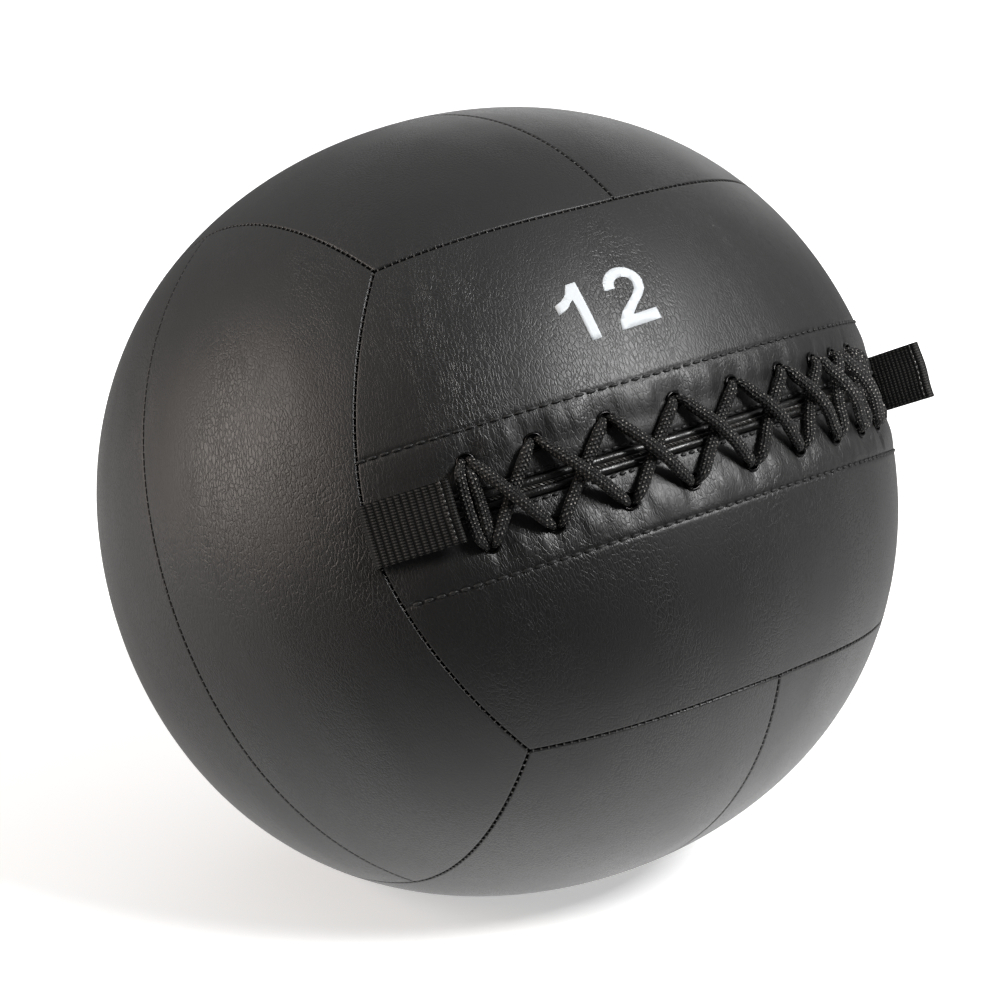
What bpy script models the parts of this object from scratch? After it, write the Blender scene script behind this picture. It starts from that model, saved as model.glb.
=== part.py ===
"""Soft wall ball: a laced cover of twelve panels over a padded, weighted core.

Run with: blender --background --python part.py
Units are metres and +Z is up. The ball is modelled upright about its own
centre, and one empty lays it on the floor, where its own weight flattens it.
"""

from math import acos, asin, atan2, cos, floor, hypot, pi, radians, sin

import bmesh
import bpy
import numpy as np
from mathutils import Matrix, Vector

MM = 0.001
MERGE_DISTANCE = 0.01 * MM
CURVE_SAMPLES = 121

# Ball
BALL_DIAMETER = 350 * MM
BALL_RADIUS = BALL_DIAMETER / 2
SQUARENESS_SHARE = 0.048
MEAN_FOURTH_POWERS = 0.6
LEAN_BACK = radians(21.9)
ROLL = radians(4.4)
FLOOR_FLATTENING = 9.5 * MM
FLOOR_SHOULDER = 2 * MM
FLOOR_SLACK_ANGLES = (radians(26), radians(38))

# Cover panels
COVER_THICKNESS = 2 * MM
SEAM_GAP = 0.6 * MM
PANEL_ROWS = 6
JUNCTION_REACH_SHARE = 1.415
FRONT_CORNER_SHARE = 0.915
SEAM_BEND_POWER = 1.65
MITRE_LIMIT = 0.4
JUNCTION_DRIFT_SHARES = {("top", -1): -0.09, ("left", 1): 0.07}
CORNER_DRIFT_SHARES = {(-1, -1, 1): (-0.02, 0.0, 0.045), (-1, -1, -1): (0.02, 0.0, -0.01)}

# Valley that the lace pulls into the front face
VALLEY_DEPTH = 3.5 * MM
VALLEY_HALF_WIDTH = 31.5 * MM
VALLEY_FADE_LENGTH = 64 * MM

# Rolled facings on each side of the slit
FACING_WIDTH = 28 * MM
FACING_THICKNESS = 1.2 * MM
FACING_GAP = 0.5 * MM
FACING_END_MARGIN = 6 * MM
LIP_RADIUS = 1.9 * MM
LIP_RISE = 0.3 * MM
LIP_GAP = 0.4 * MM
LIP_SIDES = 7
LIP_END = radians(99)

# Eyelets
EYELET_OFFSET = 16.5 * MM
LACING_START = -123.4 * MM
LACING_LENGTH = 223.4 * MM
UPPER_EYELET_SHARES = (0.001, 0.124, 0.260, 0.403, 0.541, 0.673, 0.786, 0.872, 0.957)
LOWER_EYELET_SHARES = (0.0, 0.120, 0.260, 0.390, 0.531, 0.663, 0.786, 0.898, 1.0)
EYELET_BORE_RADIUS = 3.1 * MM
EYELET_WALL = 0.5 * MM
EYELET_FLANGE_RADIUS = 4.6 * MM
EYELET_FLANGE_THICKNESS = 0.5 * MM
EYELET_SIDES = 10
EYELET_GAP = 0.3 * MM

# Lace
LACE_RADIUS = 2.2 * MM
LACE_NECK_RADIUS = 0.85 * MM
LACE_GAP = 0.5 * MM
BORE_SPREAD = 1.6 * MM
BORE_SLOTS = {"left": (-1, -0.5), "right": (1, -0.5), "middle": (0, 1.1)}
WRAP_SPREAD = 5.0 * MM
CROSSING_LIFT_GAPS = 1.6
CROSSING_RISE_SHARES = (0.24, 0.36)
RESTING_SHARE = 0.34
LEAVING_DIAMETERS = 0.6
SHALLOW_TURN_SHARE = 0.07
DEEP_TURN_SHARE = 0.03
BULGE_POWER = 0.6
TAIL_LEAD_RADII = 0.8
TAIL_INSET_RADII = 1.6
KNOT_RADIUS = 4.2 * MM
KNOT_FLATNESS_SHARE = 0.6

# Tongue and liner
TONGUE_WIDTH = 54 * MM
TONGUE_THICKNESS = 1.2 * MM
TONGUE_OVERRUN = 16 * MM
TONGUE_END_SHARE = 0.6
TONGUE_COLUMNS = 18
LAYER_GAP = 0.7 * MM
LINER_THICKNESS = 1 * MM
LINER_GAP = 1.4 * MM
LINER_ROWS = 4
LINER_FLOOR_SLACK = 1.3 * MM

# Webbing tabs
WEBBING_WIDTH = 25 * MM
WEBBING_THICKNESS = 1.4 * MM
WEBBING_SLOT = 0.5 * MM
TAB_LENGTH = 37.5 * MM
TAB_SEWN_LENGTH = 4 * MM
TAB_RISE = 0.3 * MM
TAB_FOLD_SIDES = 10
RIGHT_TAB_LEAN = radians(64)

# Core
CORE_RADIUS = 90 * MM
CORE_BAG_THICKNESS = 1 * MM
CORE_NECK_RADIUS = 14 * MM
CORE_NECK_LENGTH = 26 * MM
CORE_SIDES = 16
CORE_RINGS = 8
CORE_GAP = 0.4 * MM
CORE_TIE_RADIUS = 2.5 * MM
PADDING_SLACK = 2.8 * MM
PADDING_FLOOR_SLACK = 4.5 * MM
PADDING_SIDES = 20
PADDING_RINGS = 12
PADDING_POCKET_ANGLE = radians(16)
PADDING_POCKET_END = radians(29)
PADDING_DIP_WIDTHS = (1.6, 2.6)

# Front rows follow the lacing: lip, valley side, behind the eyelets, facing edge, then even steps
FRONT_ROW_SHARES = (0.0, 0.09, 0.215, 0.30, 0.53, 0.77, 1.0)
FRONT_LINER_ROW_SHARES = (0.0, 0.215, 0.30, 0.64, 1.0)

X_AXIS, Y_AXIS, Z_AXIS = range(3)
# face: its normal's axis and side, the axis that its mid-line runs along, the axis that splits it
FACES = {
    "front": (Y_AXIS, -1, X_AXIS, Z_AXIS),
    "back": (Y_AXIS, 1, X_AXIS, Z_AXIS),
    "top": (Z_AXIS, 1, Y_AXIS, X_AXIS),
    "bottom": (Z_AXIS, -1, Y_AXIS, X_AXIS),
    "left": (X_AXIS, -1, Z_AXIS, Y_AXIS),
    "right": (X_AXIS, 1, Z_AXIS, Y_AXIS),
}
HALF_NAMES = {
    Z_AXIS: {1: "upper", -1: "lower"},
    X_AXIS: {1: "right", -1: "left"},
    Y_AXIS: {1: "back", -1: "front"},
}

# Colours and finishes
VINYL = ((0.022, 0.021, 0.021), 0.42, 0.0)
LIP_VINYL = ((0.018, 0.017, 0.017), 0.3, 0.0)
WEBBING = ((0.012, 0.012, 0.012), 0.85, 0.0)
BRAID = ((0.010, 0.010, 0.010), 0.8, 0.0)
EYELET_STEEL = ((0.045, 0.045, 0.048), 0.35, 0.9)
LINER_CLOTH = ((0.05, 0.05, 0.05), 0.9, 0.0)
FIBRE = ((0.62, 0.60, 0.56), 1.0, 0.0)
CORE_CLOTH = ((0.30, 0.29, 0.26), 0.9, 0.0)
SAND = ((0.06, 0.055, 0.05), 0.95, 0.1)
CORD = ((0.5, 0.45, 0.35), 0.9, 0.0)


def clear_scene():
    """Remove the scene's objects."""
    for thing in list(bpy.data.objects):
        bpy.data.objects.remove(thing, do_unlink=True)


def new_collection(name):
    """Link a new collection to the scene and return it."""
    collection = bpy.data.collections.new(name)
    bpy.context.scene.collection.children.link(collection)
    return collection


def make_material(name, finish):
    """Principled material from a (colour, roughness, metallic) finish."""
    colour, roughness, metallic = finish
    material = bpy.data.materials.new(name)
    material.use_nodes = True
    shader = material.node_tree.nodes["Principled BSDF"]
    shader.inputs["Base Color"].default_value = (*colour, 1.0)
    shader.inputs["Roughness"].default_value = roughness
    shader.inputs["Metallic"].default_value = metallic
    return material


def add_object(name, data, finish, collection, parent):
    """Put mesh or curve data into the scene as one named piece of the ball."""
    piece = bpy.data.objects.new(name, data)
    data.materials.append(make_material(name, finish))
    collection.objects.link(piece)
    piece.parent = parent
    return piece


def mesh_from(bm, name):
    """Turn a bmesh into a smooth-shaded mesh."""
    mesh = bpy.data.meshes.new(name)
    bm.to_mesh(mesh)
    bm.free()
    mesh.shade_smooth()
    mesh.set_sharp_from_angle(angle=radians(40))
    return mesh


def profile_mesh(name, profile, closed):
    """Edges through points of (radius, height), joined up end to start where the profile is closed."""
    bm = bmesh.new()
    ring = [bm.verts.new((radius, 0, height)) for radius, height in profile]
    for before, after in zip(ring, ring[1:]):
        bm.edges.new((before, after))
    if closed:
        bm.edges.new((ring[-1], ring[0]))
    mesh = bpy.data.meshes.new(name)
    bm.to_mesh(mesh)
    bm.free()
    return mesh


def turn_about_z(piece, sides):
    """Turn a profile into a closed body."""
    turn = piece.modifiers.new("turn", "SCREW")
    turn.steps = sides
    turn.render_steps = sides
    turn.use_merge_vertices = True
    turn.merge_threshold = MERGE_DISTANCE


def unit(vectors):
    """Scale each row to length one."""
    return vectors / np.linalg.norm(vectors, axis=-1, keepdims=True)


# Shape of the ball


def ball_pose():
    """Rotation of the ball as it lies: leaned back on X after a small roll on Y."""
    return Matrix.Rotation(-LEAN_BACK, 3, "X") @ Matrix.Rotation(-ROLL, 3, "Y")


DOWN = -np.array(ball_pose().row[2])


def round_reach(direction):
    """Distance from the centre to the unflattened cover: a sphere a little squared by its faces."""
    return BALL_RADIUS * (1 - SQUARENESS_SHARE * (np.sum(direction**4) - MEAN_FOURTH_POWERS))


CENTRE_HEIGHT = round_reach(DOWN) - FLOOR_FLATTENING


def arc_and_height(direction):
    """Arc round the front from its middle, and height above its mid-line."""
    arc = BALL_RADIUS * atan2(direction[0], -direction[1])
    return arc, BALL_RADIUS * direction[2]


def front_direction(arc, height):
    """Direction from the centre to a place on the front face."""
    tilt = asin(height / BALL_RADIUS)
    turn = arc / BALL_RADIUS
    return np.array([sin(turn) * cos(tilt), -cos(turn) * cos(tilt), sin(tilt)])


def half_front_length():
    """Arc from the middle of the front face to the end of its mid-line."""
    return BALL_RADIUS * atan2(JUNCTION_REACH_SHARE, 1)


def valley_depth(direction):
    """How far the lace pulls the cover in here."""
    arc, height = arc_and_height(direction)
    if abs(height) >= VALLEY_HALF_WIDTH:
        return 0.0
    across = 0.5 + 0.5 * cos(pi * height / VALLEY_HALF_WIDTH)
    run_out = half_front_length() - abs(arc)
    along = np.interp(run_out, (0, VALLEY_FADE_LENGTH), (0, 1))
    return VALLEY_DEPTH * across * along


def cover_reach(direction, depth=0.0):
    """Distance from the centre to a layer `depth` under the cover's face, flat at the floor."""
    reach = round_reach(direction) - valley_depth(direction) - depth
    drop = float(np.dot(direction, DOWN))
    if drop <= 0:
        return reach
    floor_reach = (CENTRE_HEIGHT - depth) / drop
    shoulder = max(FLOOR_SHOULDER - abs(reach - floor_reach), 0.0)
    return min(reach, floor_reach) - shoulder**2 / (4 * FLOOR_SHOULDER)


def floor_share(direction):
    """One where the ball rests, falling to zero round it."""
    return float(np.interp(acos(np.clip(np.dot(direction, DOWN), -1, 1)), FLOOR_SLACK_ANGLES, (1, 0)))


def on_front(arc, height, lift=0.0):
    """Point on the front face, `lift` above the cover."""
    direction = front_direction(arc, height)
    return direction * (cover_reach(direction) + lift)


# Seam net


def junction(face, end):
    """Direction, not yet of unit length, of the end of a face's mid-line."""
    normal, side, mid, split = FACES[face]
    point = np.zeros(3)
    point[normal] = side
    point[mid] = end * JUNCTION_REACH_SHARE
    point[split] = JUNCTION_DRIFT_SHARES.get((face, end), 0.0)
    return point


def corner(signs):
    """Direction of the corner where three faces meet; the lace draws the front ones together."""
    point = np.array(signs, dtype=float)
    if point[Y_AXIS] < 0:
        point[Z_AXIS] *= FRONT_CORNER_SHARE
    return point + np.array(CORNER_DRIFT_SHARES.get(tuple(signs), (0.0, 0.0, 0.0)))


def spread(points, shares):
    """Unit directions at the given shares of a curve's length."""
    points = unit(points)
    steps = np.linalg.norm(np.diff(points, axis=0), axis=1)
    along = np.concatenate(([0.0], np.cumsum(steps)))
    picked = [np.interp(np.array(shares) * along[-1], along, points[:, axis]) for axis in range(3)]
    return unit(np.array(picked).T)


def half_seam(face, end, signs, shares):
    """Seam from the end of a face's mid-line to a corner, bulging along that mid-line."""
    tip = junction(face, end)
    edge = corner(signs) - tip
    steps = np.linspace(0, 1, CURVE_SAMPLES)
    points = tip + edge * steps[:, None]
    bulge = FACES[face][2]
    points[:, bulge] = tip[bulge] + edge[bulge] * steps**SEAM_BEND_POWER
    return spread(points, shares)


def neighbour_across(face, half):
    """Face that meets the outer seam of a panel."""
    split = FACES[face][3]
    return next(name for name, plan in FACES.items() if plan[0] == split and plan[1] == half)


def row_shares(face, rows):
    """Places of a panel's rows between its mid-line and its outer seam."""
    if face != "front":
        return np.linspace(0, 1, rows + 1)
    return np.array(FRONT_ROW_SHARES if rows == PANEL_ROWS else FRONT_LINER_ROW_SHARES)


def panel_directions(face, half, rows):
    """Grid of directions over one panel, from its mid-line to its outer seam."""
    normal, side, mid, split = FACES[face]
    columns = 2 * rows

    def signs(end):
        values = [0, 0, 0]
        values[normal], values[mid], values[split] = side, end, half
        return values

    shares = row_shares(face, rows)
    even = np.linspace(0, 1, columns + 1)
    middle = spread(np.linspace(junction(face, -1), junction(face, 1), CURVE_SAMPLES), even)
    across = neighbour_across(face, half)
    across_shares = row_shares(across, rows)
    before = half_seam(across, side, signs(-1), across_shares)[::-1]
    after = half_seam(across, side, signs(1), across_shares)[1:]
    outer = np.concatenate((before, after))
    near = half_seam(face, -1, signs(-1), shares)
    far = half_seam(face, 1, signs(1), shares)
    u = even[None, :, None]
    v = shares[:, None, None]
    ruled = (1 - v) * middle[None] + v * outer[None]
    sides = (1 - u) * near[:, None] + u * far[:, None]
    corners = (1 - v) * ((1 - u) * middle[0] + u * middle[-1]) + v * ((1 - u) * outer[0] + u * outer[-1])
    return unit(ruled + sides - corners)


def outline_places(rows, columns):
    """Row and column of each boundary point of a grid, in order round it."""
    places = [(0, column) for column in range(columns)]
    places += [(row, columns - 1) for row in range(1, rows)]
    places += [(rows - 1, column) for column in range(columns - 2, -1, -1)]
    places += [(row, 0) for row in range(rows - 2, 0, -1)]
    return places


def drawn_in(grid, margin):
    """Move a grid's outline in over the sphere by a margin, mitred at its corners."""
    places = outline_places(*grid.shape[:2])
    loop = np.array([grid[place] for place in places])
    middle = unit(loop.mean(axis=0))
    moved = grid.copy()
    for index, place in enumerate(places):
        point = loop[index]
        before = unit(point - loop[index - 1])
        after = unit(loop[(index + 1) % len(loop)] - point)
        inward = unit(np.cross(point, before)), unit(np.cross(point, after))
        facing = 1 if np.dot(inward[0] + inward[1], middle - point) > 0 else -1
        mitre = unit(inward[0] + inward[1])
        spread_out = max(np.dot(mitre, inward[0]), MITRE_LIMIT)
        moved[place] = unit(point + facing * mitre * margin / BALL_RADIUS / spread_out)
    return moved


def grid_surface(name, points):
    """Open surface through a grid of points, facing away from the ball's centre."""
    rows, columns = points.shape[:2]
    bm = bmesh.new()
    bmesh.ops.create_grid(bm, x_segments=columns - 1, y_segments=rows - 1, size=0.5)
    for vertex in bm.verts:
        column = round((vertex.co.x + 0.5) * (columns - 1))
        row = round((vertex.co.y + 0.5) * (rows - 1))
        vertex.co = points[row, column]
    bm.normal_update()
    if sum(face.normal.dot(face.calc_center_median()) for face in bm.faces) < 0:
        bmesh.ops.reverse_faces(bm, faces=bm.faces)
    return bm


def give_thickness(piece, thickness):
    """Turn an open surface into a shell, inwards from its face."""
    shell = piece.modifiers.new("shell", "SOLIDIFY")
    shell.thickness = thickness
    shell.offset = -1
    shell.use_even_offset = False


def layer_points(directions, depth):
    """Points of a layer under the cover, `depth` a number or a function of the direction."""
    points = np.zeros_like(directions)
    for place in np.ndindex(directions.shape[:2]):
        direction = directions[place]
        here = depth(direction) if callable(depth) else depth
        points[place] = direction * cover_reach(direction, here)
    return points


def make_cover(collection, parent):
    """Twelve sewn panels; the two on the front stop at the rolled lips."""
    panels = {}
    for face, (normal, side, mid, split) in FACES.items():
        for half, half_name in HALF_NAMES[split].items():
            directions = panel_directions(face, half, PANEL_ROWS)
            if face == "front":
                lip_edge = lip_centre_height() + LIP_RADIUS + LIP_GAP
                for column, direction in enumerate(directions[0]):
                    arc = arc_and_height(direction)[0]
                    directions[0, column] = front_direction(arc, half * lip_edge)
            directions = drawn_in(directions, SEAM_GAP / 2)
            name = f"{face}_{half_name}_panel"
            mesh = mesh_from(grid_surface(name, layer_points(directions, 0.0)), name)
            panels[name] = add_object(name, mesh, VINYL, collection, parent)
            give_thickness(panels[name], COVER_THICKNESS)
    return panels


# Facings, tongue and liner


def lip_centre_height():
    """Height of a lip's centre above the slit's middle."""
    return LIP_RADIUS + LIP_GAP / 2


def facing_outer_depth():
    """Depth of a facing's outer face under the cover's face."""
    return COVER_THICKNESS + FACING_GAP


def facing_inner_depth():
    """Depth of a facing's inner face under the cover's face."""
    return facing_outer_depth() + FACING_THICKNESS


def facing_profile():
    """Section of a facing as (height, depth): a flat strip with a rolled lip."""
    outer = facing_outer_depth()
    inner = facing_inner_depth()
    lip_depth = LIP_RADIUS - LIP_RISE
    lip_height = lip_centre_height()
    start = asin((outer - lip_depth) / LIP_RADIUS)
    lip = []
    for step in range(LIP_SIDES + 1):
        angle = start - (start + 2 * pi - LIP_END) * step / LIP_SIDES
        lip.append((lip_height + LIP_RADIUS * cos(angle), lip_depth + LIP_RADIUS * sin(angle)))
    row_heights = [share * FACING_WIDTH / FRONT_ROW_SHARES[3] for share in FRONT_ROW_SHARES[1:3]]
    strip = [FACING_WIDTH, *reversed(row_heights)]
    under = [(height, inner) for height in reversed(strip)]
    return [(height, outer) for height in strip] + lip + under


def lofted_body(name, rings):
    """Closed body through a row of rings of points, capped at both ends."""
    bm = bmesh.new()
    loops = [[bm.verts.new(point) for point in ring] for ring in rings]
    bm.faces.new(loops[0])
    count = len(loops[0])
    for near, far in zip(loops, loops[1:]):
        for index in range(count):
            after = (index + 1) % count
            bm.faces.new((near[index], far[index], far[after], near[after]))
    bm.faces.new(list(reversed(loops[-1])))
    bmesh.ops.recalc_face_normals(bm, faces=bm.faces)
    bmesh.ops.triangulate(bm, faces=[face for face in bm.faces if len(face.verts) > 4])
    return mesh_from(bm, name)


def make_facings(collection, parent):
    """Upper and lower facings, along the whole mid-line of the front."""
    facings = {}
    columns = 2 * PANEL_ROWS
    arcs = np.linspace(-1, 1, columns + 1) * half_front_length()
    arcs[0] += FACING_END_MARGIN
    arcs[-1] -= FACING_END_MARGIN
    for half, half_name in HALF_NAMES[Z_AXIS].items():
        rings = []
        for arc in arcs:
            rings.append([on_front(arc, half * height, -depth) for height, depth in facing_profile()])
        name = f"{half_name}_facing"
        facings[name] = add_object(name, lofted_body(name, rings), LIP_VINYL, collection, parent)
    return facings


def tongue_depth(arc, height):
    """Depth of the tongue's outer face: it dips under the lace and rises to the facings."""
    shallow = facing_inner_depth() + LAYER_GAP
    deep = lace_under_depth(deep=True) + LACE_NECK_RADIUS + LAYER_GAP
    edge = TONGUE_WIDTH / 2
    flat = EYELET_OFFSET + EYELET_FLANGE_RADIUS
    across = np.interp(abs(height), (flat, edge), (1, 0))
    middle = LACING_START + LACING_LENGTH / 2
    run_out = LACING_LENGTH / 2 + TONGUE_OVERRUN - abs(arc - middle)
    along = np.interp(run_out, (0, TONGUE_OVERRUN * TONGUE_END_SHARE), (0, 1))
    return shallow + (deep - shallow) * across * along


def make_tongue(collection, parent):
    """Tongue under the lacing."""
    arcs = np.linspace(LACING_START - TONGUE_OVERRUN,
                       LACING_START + LACING_LENGTH + TONGUE_OVERRUN, TONGUE_COLUMNS + 1)
    edge = TONGUE_WIDTH / 2
    flat = EYELET_OFFSET + EYELET_FLANGE_RADIUS
    heights = (-edge, -flat, 0, flat, edge)
    points = np.array([[on_front(arc, height, -tongue_depth(arc, height)) for arc in arcs]
                       for height in heights])
    mesh = mesh_from(grid_surface("tongue", points), "tongue")
    tongue = add_object("tongue", mesh, LINER_CLOTH, collection, parent)
    give_thickness(tongue, TONGUE_THICKNESS)
    return tongue


def under_tongue_depth():
    """Depth below the tongue where it is deepest."""
    deep = lace_under_depth(deep=True) + LACE_NECK_RADIUS + LAYER_GAP
    return deep + TONGUE_THICKNESS + LINER_GAP


def liner_depth(direction):
    """Depth of the liner: close under the cover, and below the facings and the tongue."""
    arc, height = arc_and_height(direction)
    plain = COVER_THICKNESS + LINER_GAP + LINER_FLOOR_SLACK * floor_share(direction)
    if direction[1] > 0:
        return plain
    deep = under_tongue_depth()
    flat = (EYELET_OFFSET + EYELET_FLANGE_RADIUS + TONGUE_WIDTH / 2) / 2
    across = np.interp(abs(height), (flat, VALLEY_HALF_WIDTH), (1, 0))
    facing_share = (facing_inner_depth() + LINER_GAP - plain) / (deep - plain)
    column = half_front_length() / LINER_ROWS
    reach = half_front_length()
    along = np.interp(abs(arc), (reach - column, reach, reach + column), (1, facing_share, 0))
    return plain + (deep - plain) * across * along


def make_liner(collection, parent):
    """One bag of the same twelve shapes, open along its mouth under the tongue."""
    bm = bmesh.new()
    for face, plan in FACES.items():
        for half in HALF_NAMES[plan[3]]:
            directions = panel_directions(face, half, LINER_ROWS)
            part = grid_surface("part", layer_points(directions, liner_depth))
            piece = bpy.data.meshes.new("part")
            part.to_mesh(piece)
            part.free()
            bm.from_mesh(piece)
            bpy.data.meshes.remove(piece)
    bmesh.ops.remove_doubles(bm, verts=bm.verts, dist=LINER_THICKNESS / 10)
    mouth = []
    for face in bm.faces:
        arc, height = arc_and_height(np.array(face.calc_center_median().normalized()))
        if face.calc_center_median().y < 0 and abs(height) < VALLEY_HALF_WIDTH / 2:
            if abs(arc - LACING_START - LACING_LENGTH / 2) < LACING_LENGTH / 3:
                mouth.append(face)
    bmesh.ops.delete(bm, geom=mouth, context="FACES")
    liner = add_object("liner_bag", mesh_from(bm, "liner_bag"), LINER_CLOTH, collection, parent)
    give_thickness(liner, LINER_THICKNESS)
    return liner


# Eyelets and their holes


def eyelet_arcs():
    """Arcs of the upper and lower eyelets along the front."""
    upper = [LACING_START + share * LACING_LENGTH for share in UPPER_EYELET_SHARES]
    lower = [LACING_START + share * LACING_LENGTH for share in LOWER_EYELET_SHARES]
    return {1: upper, -1: lower}


def on_facet(arc, height):
    """Point on the flat stretch of cover between two columns of the front panels."""
    column = half_front_length() / PANEL_ROWS
    before = floor(arc / column) * column
    share = (arc - before) / column
    return on_front(before, height) * (1 - share) + on_front(before + column, height) * share


def eyelet_frame(arc, half):
    """Matrix of an eyelet: origin on the cover's face, Z out of the panel."""
    step = EYELET_FLANGE_RADIUS
    height = half * EYELET_OFFSET
    middle = on_facet(arc, height)
    along = on_facet(arc + step, height) - on_facet(arc - step, height)
    up = on_facet(arc, height + step) - on_facet(arc, height - step)
    x_axis = Vector(along).normalized()
    z_axis = x_axis.cross(Vector(up)).normalized()
    y_axis = z_axis.cross(x_axis)
    frame = Matrix((x_axis, y_axis, z_axis)).transposed().to_4x4()
    frame.translation = Vector(middle)
    return frame


def eyelet_profile():
    """Ring section of an eyelet, down its outer side and up its bore."""
    barrel = EYELET_BORE_RADIUS + EYELET_WALL
    top = EYELET_GAP + EYELET_FLANGE_THICKNESS
    back = -facing_inner_depth() - EYELET_GAP
    roll = (barrel + EYELET_FLANGE_RADIUS) / 2
    return [
        (EYELET_BORE_RADIUS, top),
        (EYELET_FLANGE_RADIUS, EYELET_GAP),
        (barrel, EYELET_GAP),
        (barrel, back),
        (roll, back),
        (roll, -eyelet_back_depth()),
        (EYELET_BORE_RADIUS, -eyelet_back_depth()),
    ]


def make_eyelets(collection, parent):
    """Eighteen turned eyelets that share one profile."""
    mesh = profile_mesh("eyelet", eyelet_profile(), closed=True)
    mesh.materials.append(make_material("eyelet", EYELET_STEEL))
    for half, arcs in eyelet_arcs().items():
        for number, arc in enumerate(arcs, start=1):
            name = f"{HALF_NAMES[Z_AXIS][half]}_eyelet_{number}"
            eyelet = bpy.data.objects.new(name, mesh)
            collection.objects.link(eyelet)
            eyelet.parent = parent
            eyelet.matrix_local = eyelet_frame(arc, half)
            turn_about_z(eyelet, EYELET_SIDES)


def cut_eyelet_holes(panels, facings, cutters, parent):
    """Cut the eyelets' holes through the front panels and the facings."""
    radius = EYELET_BORE_RADIUS + EYELET_WALL + EYELET_GAP
    depth = 2 * (eyelet_back_depth() + EYELET_FLANGE_RADIUS)
    for half, arcs in eyelet_arcs().items():
        half_name = HALF_NAMES[Z_AXIS][half]
        bm = bmesh.new()
        for arc in arcs:
            bmesh.ops.create_cone(bm, cap_ends=True, segments=EYELET_SIDES, radius1=radius,
                                  radius2=radius, depth=depth, matrix=eyelet_frame(arc, half))
        mesh = bpy.data.meshes.new(f"{half_name}_hole_cutters")
        bm.to_mesh(mesh)
        bm.free()
        cutter = bpy.data.objects.new(mesh.name, mesh)
        cutters.objects.link(cutter)
        cutter.parent = parent
        cutter.hide_render = True
        cutter.display_type = "WIRE"
        for piece in (panels[f"front_{half_name}_panel"], facings[f"{half_name}_facing"]):
            cut = piece.modifiers.new("eyelet_holes", "BOOLEAN")
            cut.object = cutter
            cut.solver = "EXACT"


# Lace


def eyelet_back_depth():
    """Depth of an eyelet's inner end under the cover's face."""
    return facing_inner_depth() + EYELET_GAP + EYELET_WALL


def lace_under_depth(deep):
    """Depth of the lace's centre where it passes behind the facings."""
    shallow = eyelet_back_depth() + 2 * LACE_GAP + LACE_NECK_RADIUS
    return shallow + (2 * LACE_NECK_RADIUS + LACE_GAP if deep else 0.0)


def low_lift():
    """Height of the lace's centre over the cover where it lies on the lips."""
    return LIP_RISE + LACE_GAP / 2 + LACE_RADIUS


def high_lift():
    """Height of the lace's centre where it crosses over another strand."""
    return low_lift() + 2 * LACE_RADIUS + CROSSING_LIFT_GAPS * LACE_GAP


class LaceRoute:
    """Collects the lace's points and radii, strand after strand."""

    def __init__(self):
        self.points = []
        self.radii = []

    def add(self, arc, height, lift, radius):
        """Add one point by its place on the front face."""
        self.points.append(on_front(arc, height, lift))
        self.radii.append(radius)

    def add_in_bore(self, place, lift):
        """Add one point of a narrowed strand along the axis of its tilted eyelet."""
        self.points.append(np.array(place.frame @ Vector((*place.offset, lift))))
        self.radii.append(LACE_NECK_RADIUS)

    def over(self, start, end, crossing, bulge=0.0):
        """Pass over the cover between two places, humped where it crosses another strand."""
        run = hypot(end.arc - start.arc, end.height - start.height)
        leave = EYELET_BORE_RADIUS / run
        full = 2 * LACE_RADIUS / run
        low = low_lift()
        mid_radius = (LACE_RADIUS + LACE_NECK_RADIUS) / 2
        lie = EYELET_FLANGE_THICKNESS + 2 * EYELET_GAP
        mouth = lie + LACE_NECK_RADIUS
        steps = [
            (leave, lie + mid_radius, mid_radius),
            (leave + full * LEAVING_DIAMETERS, lie + LACE_RADIUS, LACE_RADIUS),
        ]
        if crossing:
            climb, crest = CROSSING_RISE_SHARES
            steps += [
                (climb, (low + high_lift()) / 2, LACE_RADIUS),
                (crest, high_lift() - LACE_GAP / 2, LACE_RADIUS),
                (0.5, high_lift(), LACE_RADIUS),
            ]
        else:
            steps += [(RESTING_SHARE, low, LACE_RADIUS), (0.5, low, LACE_RADIUS)]
        steps += [(1 - share, lift, radius) for share, lift, radius in reversed(steps[:-1])]
        self.add_in_bore(start, mouth)
        for share, lift, radius in steps:
            self.add(*between(start, end, share, bulge), lift, radius)
        self.add_in_bore(end, mouth)

    def under(self, start, end, deep=False, bulge=0.0):
        """Pass behind the facings between two places."""
        depth = lace_under_depth(deep)
        bore = eyelet_back_depth() + EYELET_GAP
        turn = DEEP_TURN_SHARE if deep else SHALLOW_TURN_SHARE
        self.add_in_bore(start, -bore)
        for share in (turn, 0.5, 1 - turn):
            self.add(*between(start, end, share, bulge), -depth, LACE_NECK_RADIUS)
        self.add_in_bore(end, -bore)

    def least_gap(self):
        """Least clear distance between parts of the lace that aren't neighbours along it."""
        points, radii = [], []
        for index in range(len(self.points) - 1):
            for share in (0, 0.25, 0.5, 0.75):
                points.append(self.points[index] * (1 - share) + self.points[index + 1] * share)
                radii.append(self.radii[index] * (1 - share) + self.radii[index + 1] * share)
        points, radii = np.array(points), np.array(radii)
        along = np.concatenate(([0.0], np.cumsum(np.linalg.norm(np.diff(points, axis=0), axis=1))))
        least = BALL_DIAMETER
        for index in range(len(points)):
            apart = np.abs(along - along[index]) > 4 * LACE_RADIUS
            gaps = np.linalg.norm(points[apart] - points[index], axis=1) - radii[apart] - radii[index]
            least = min(least, gaps.min())
        return least


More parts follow.
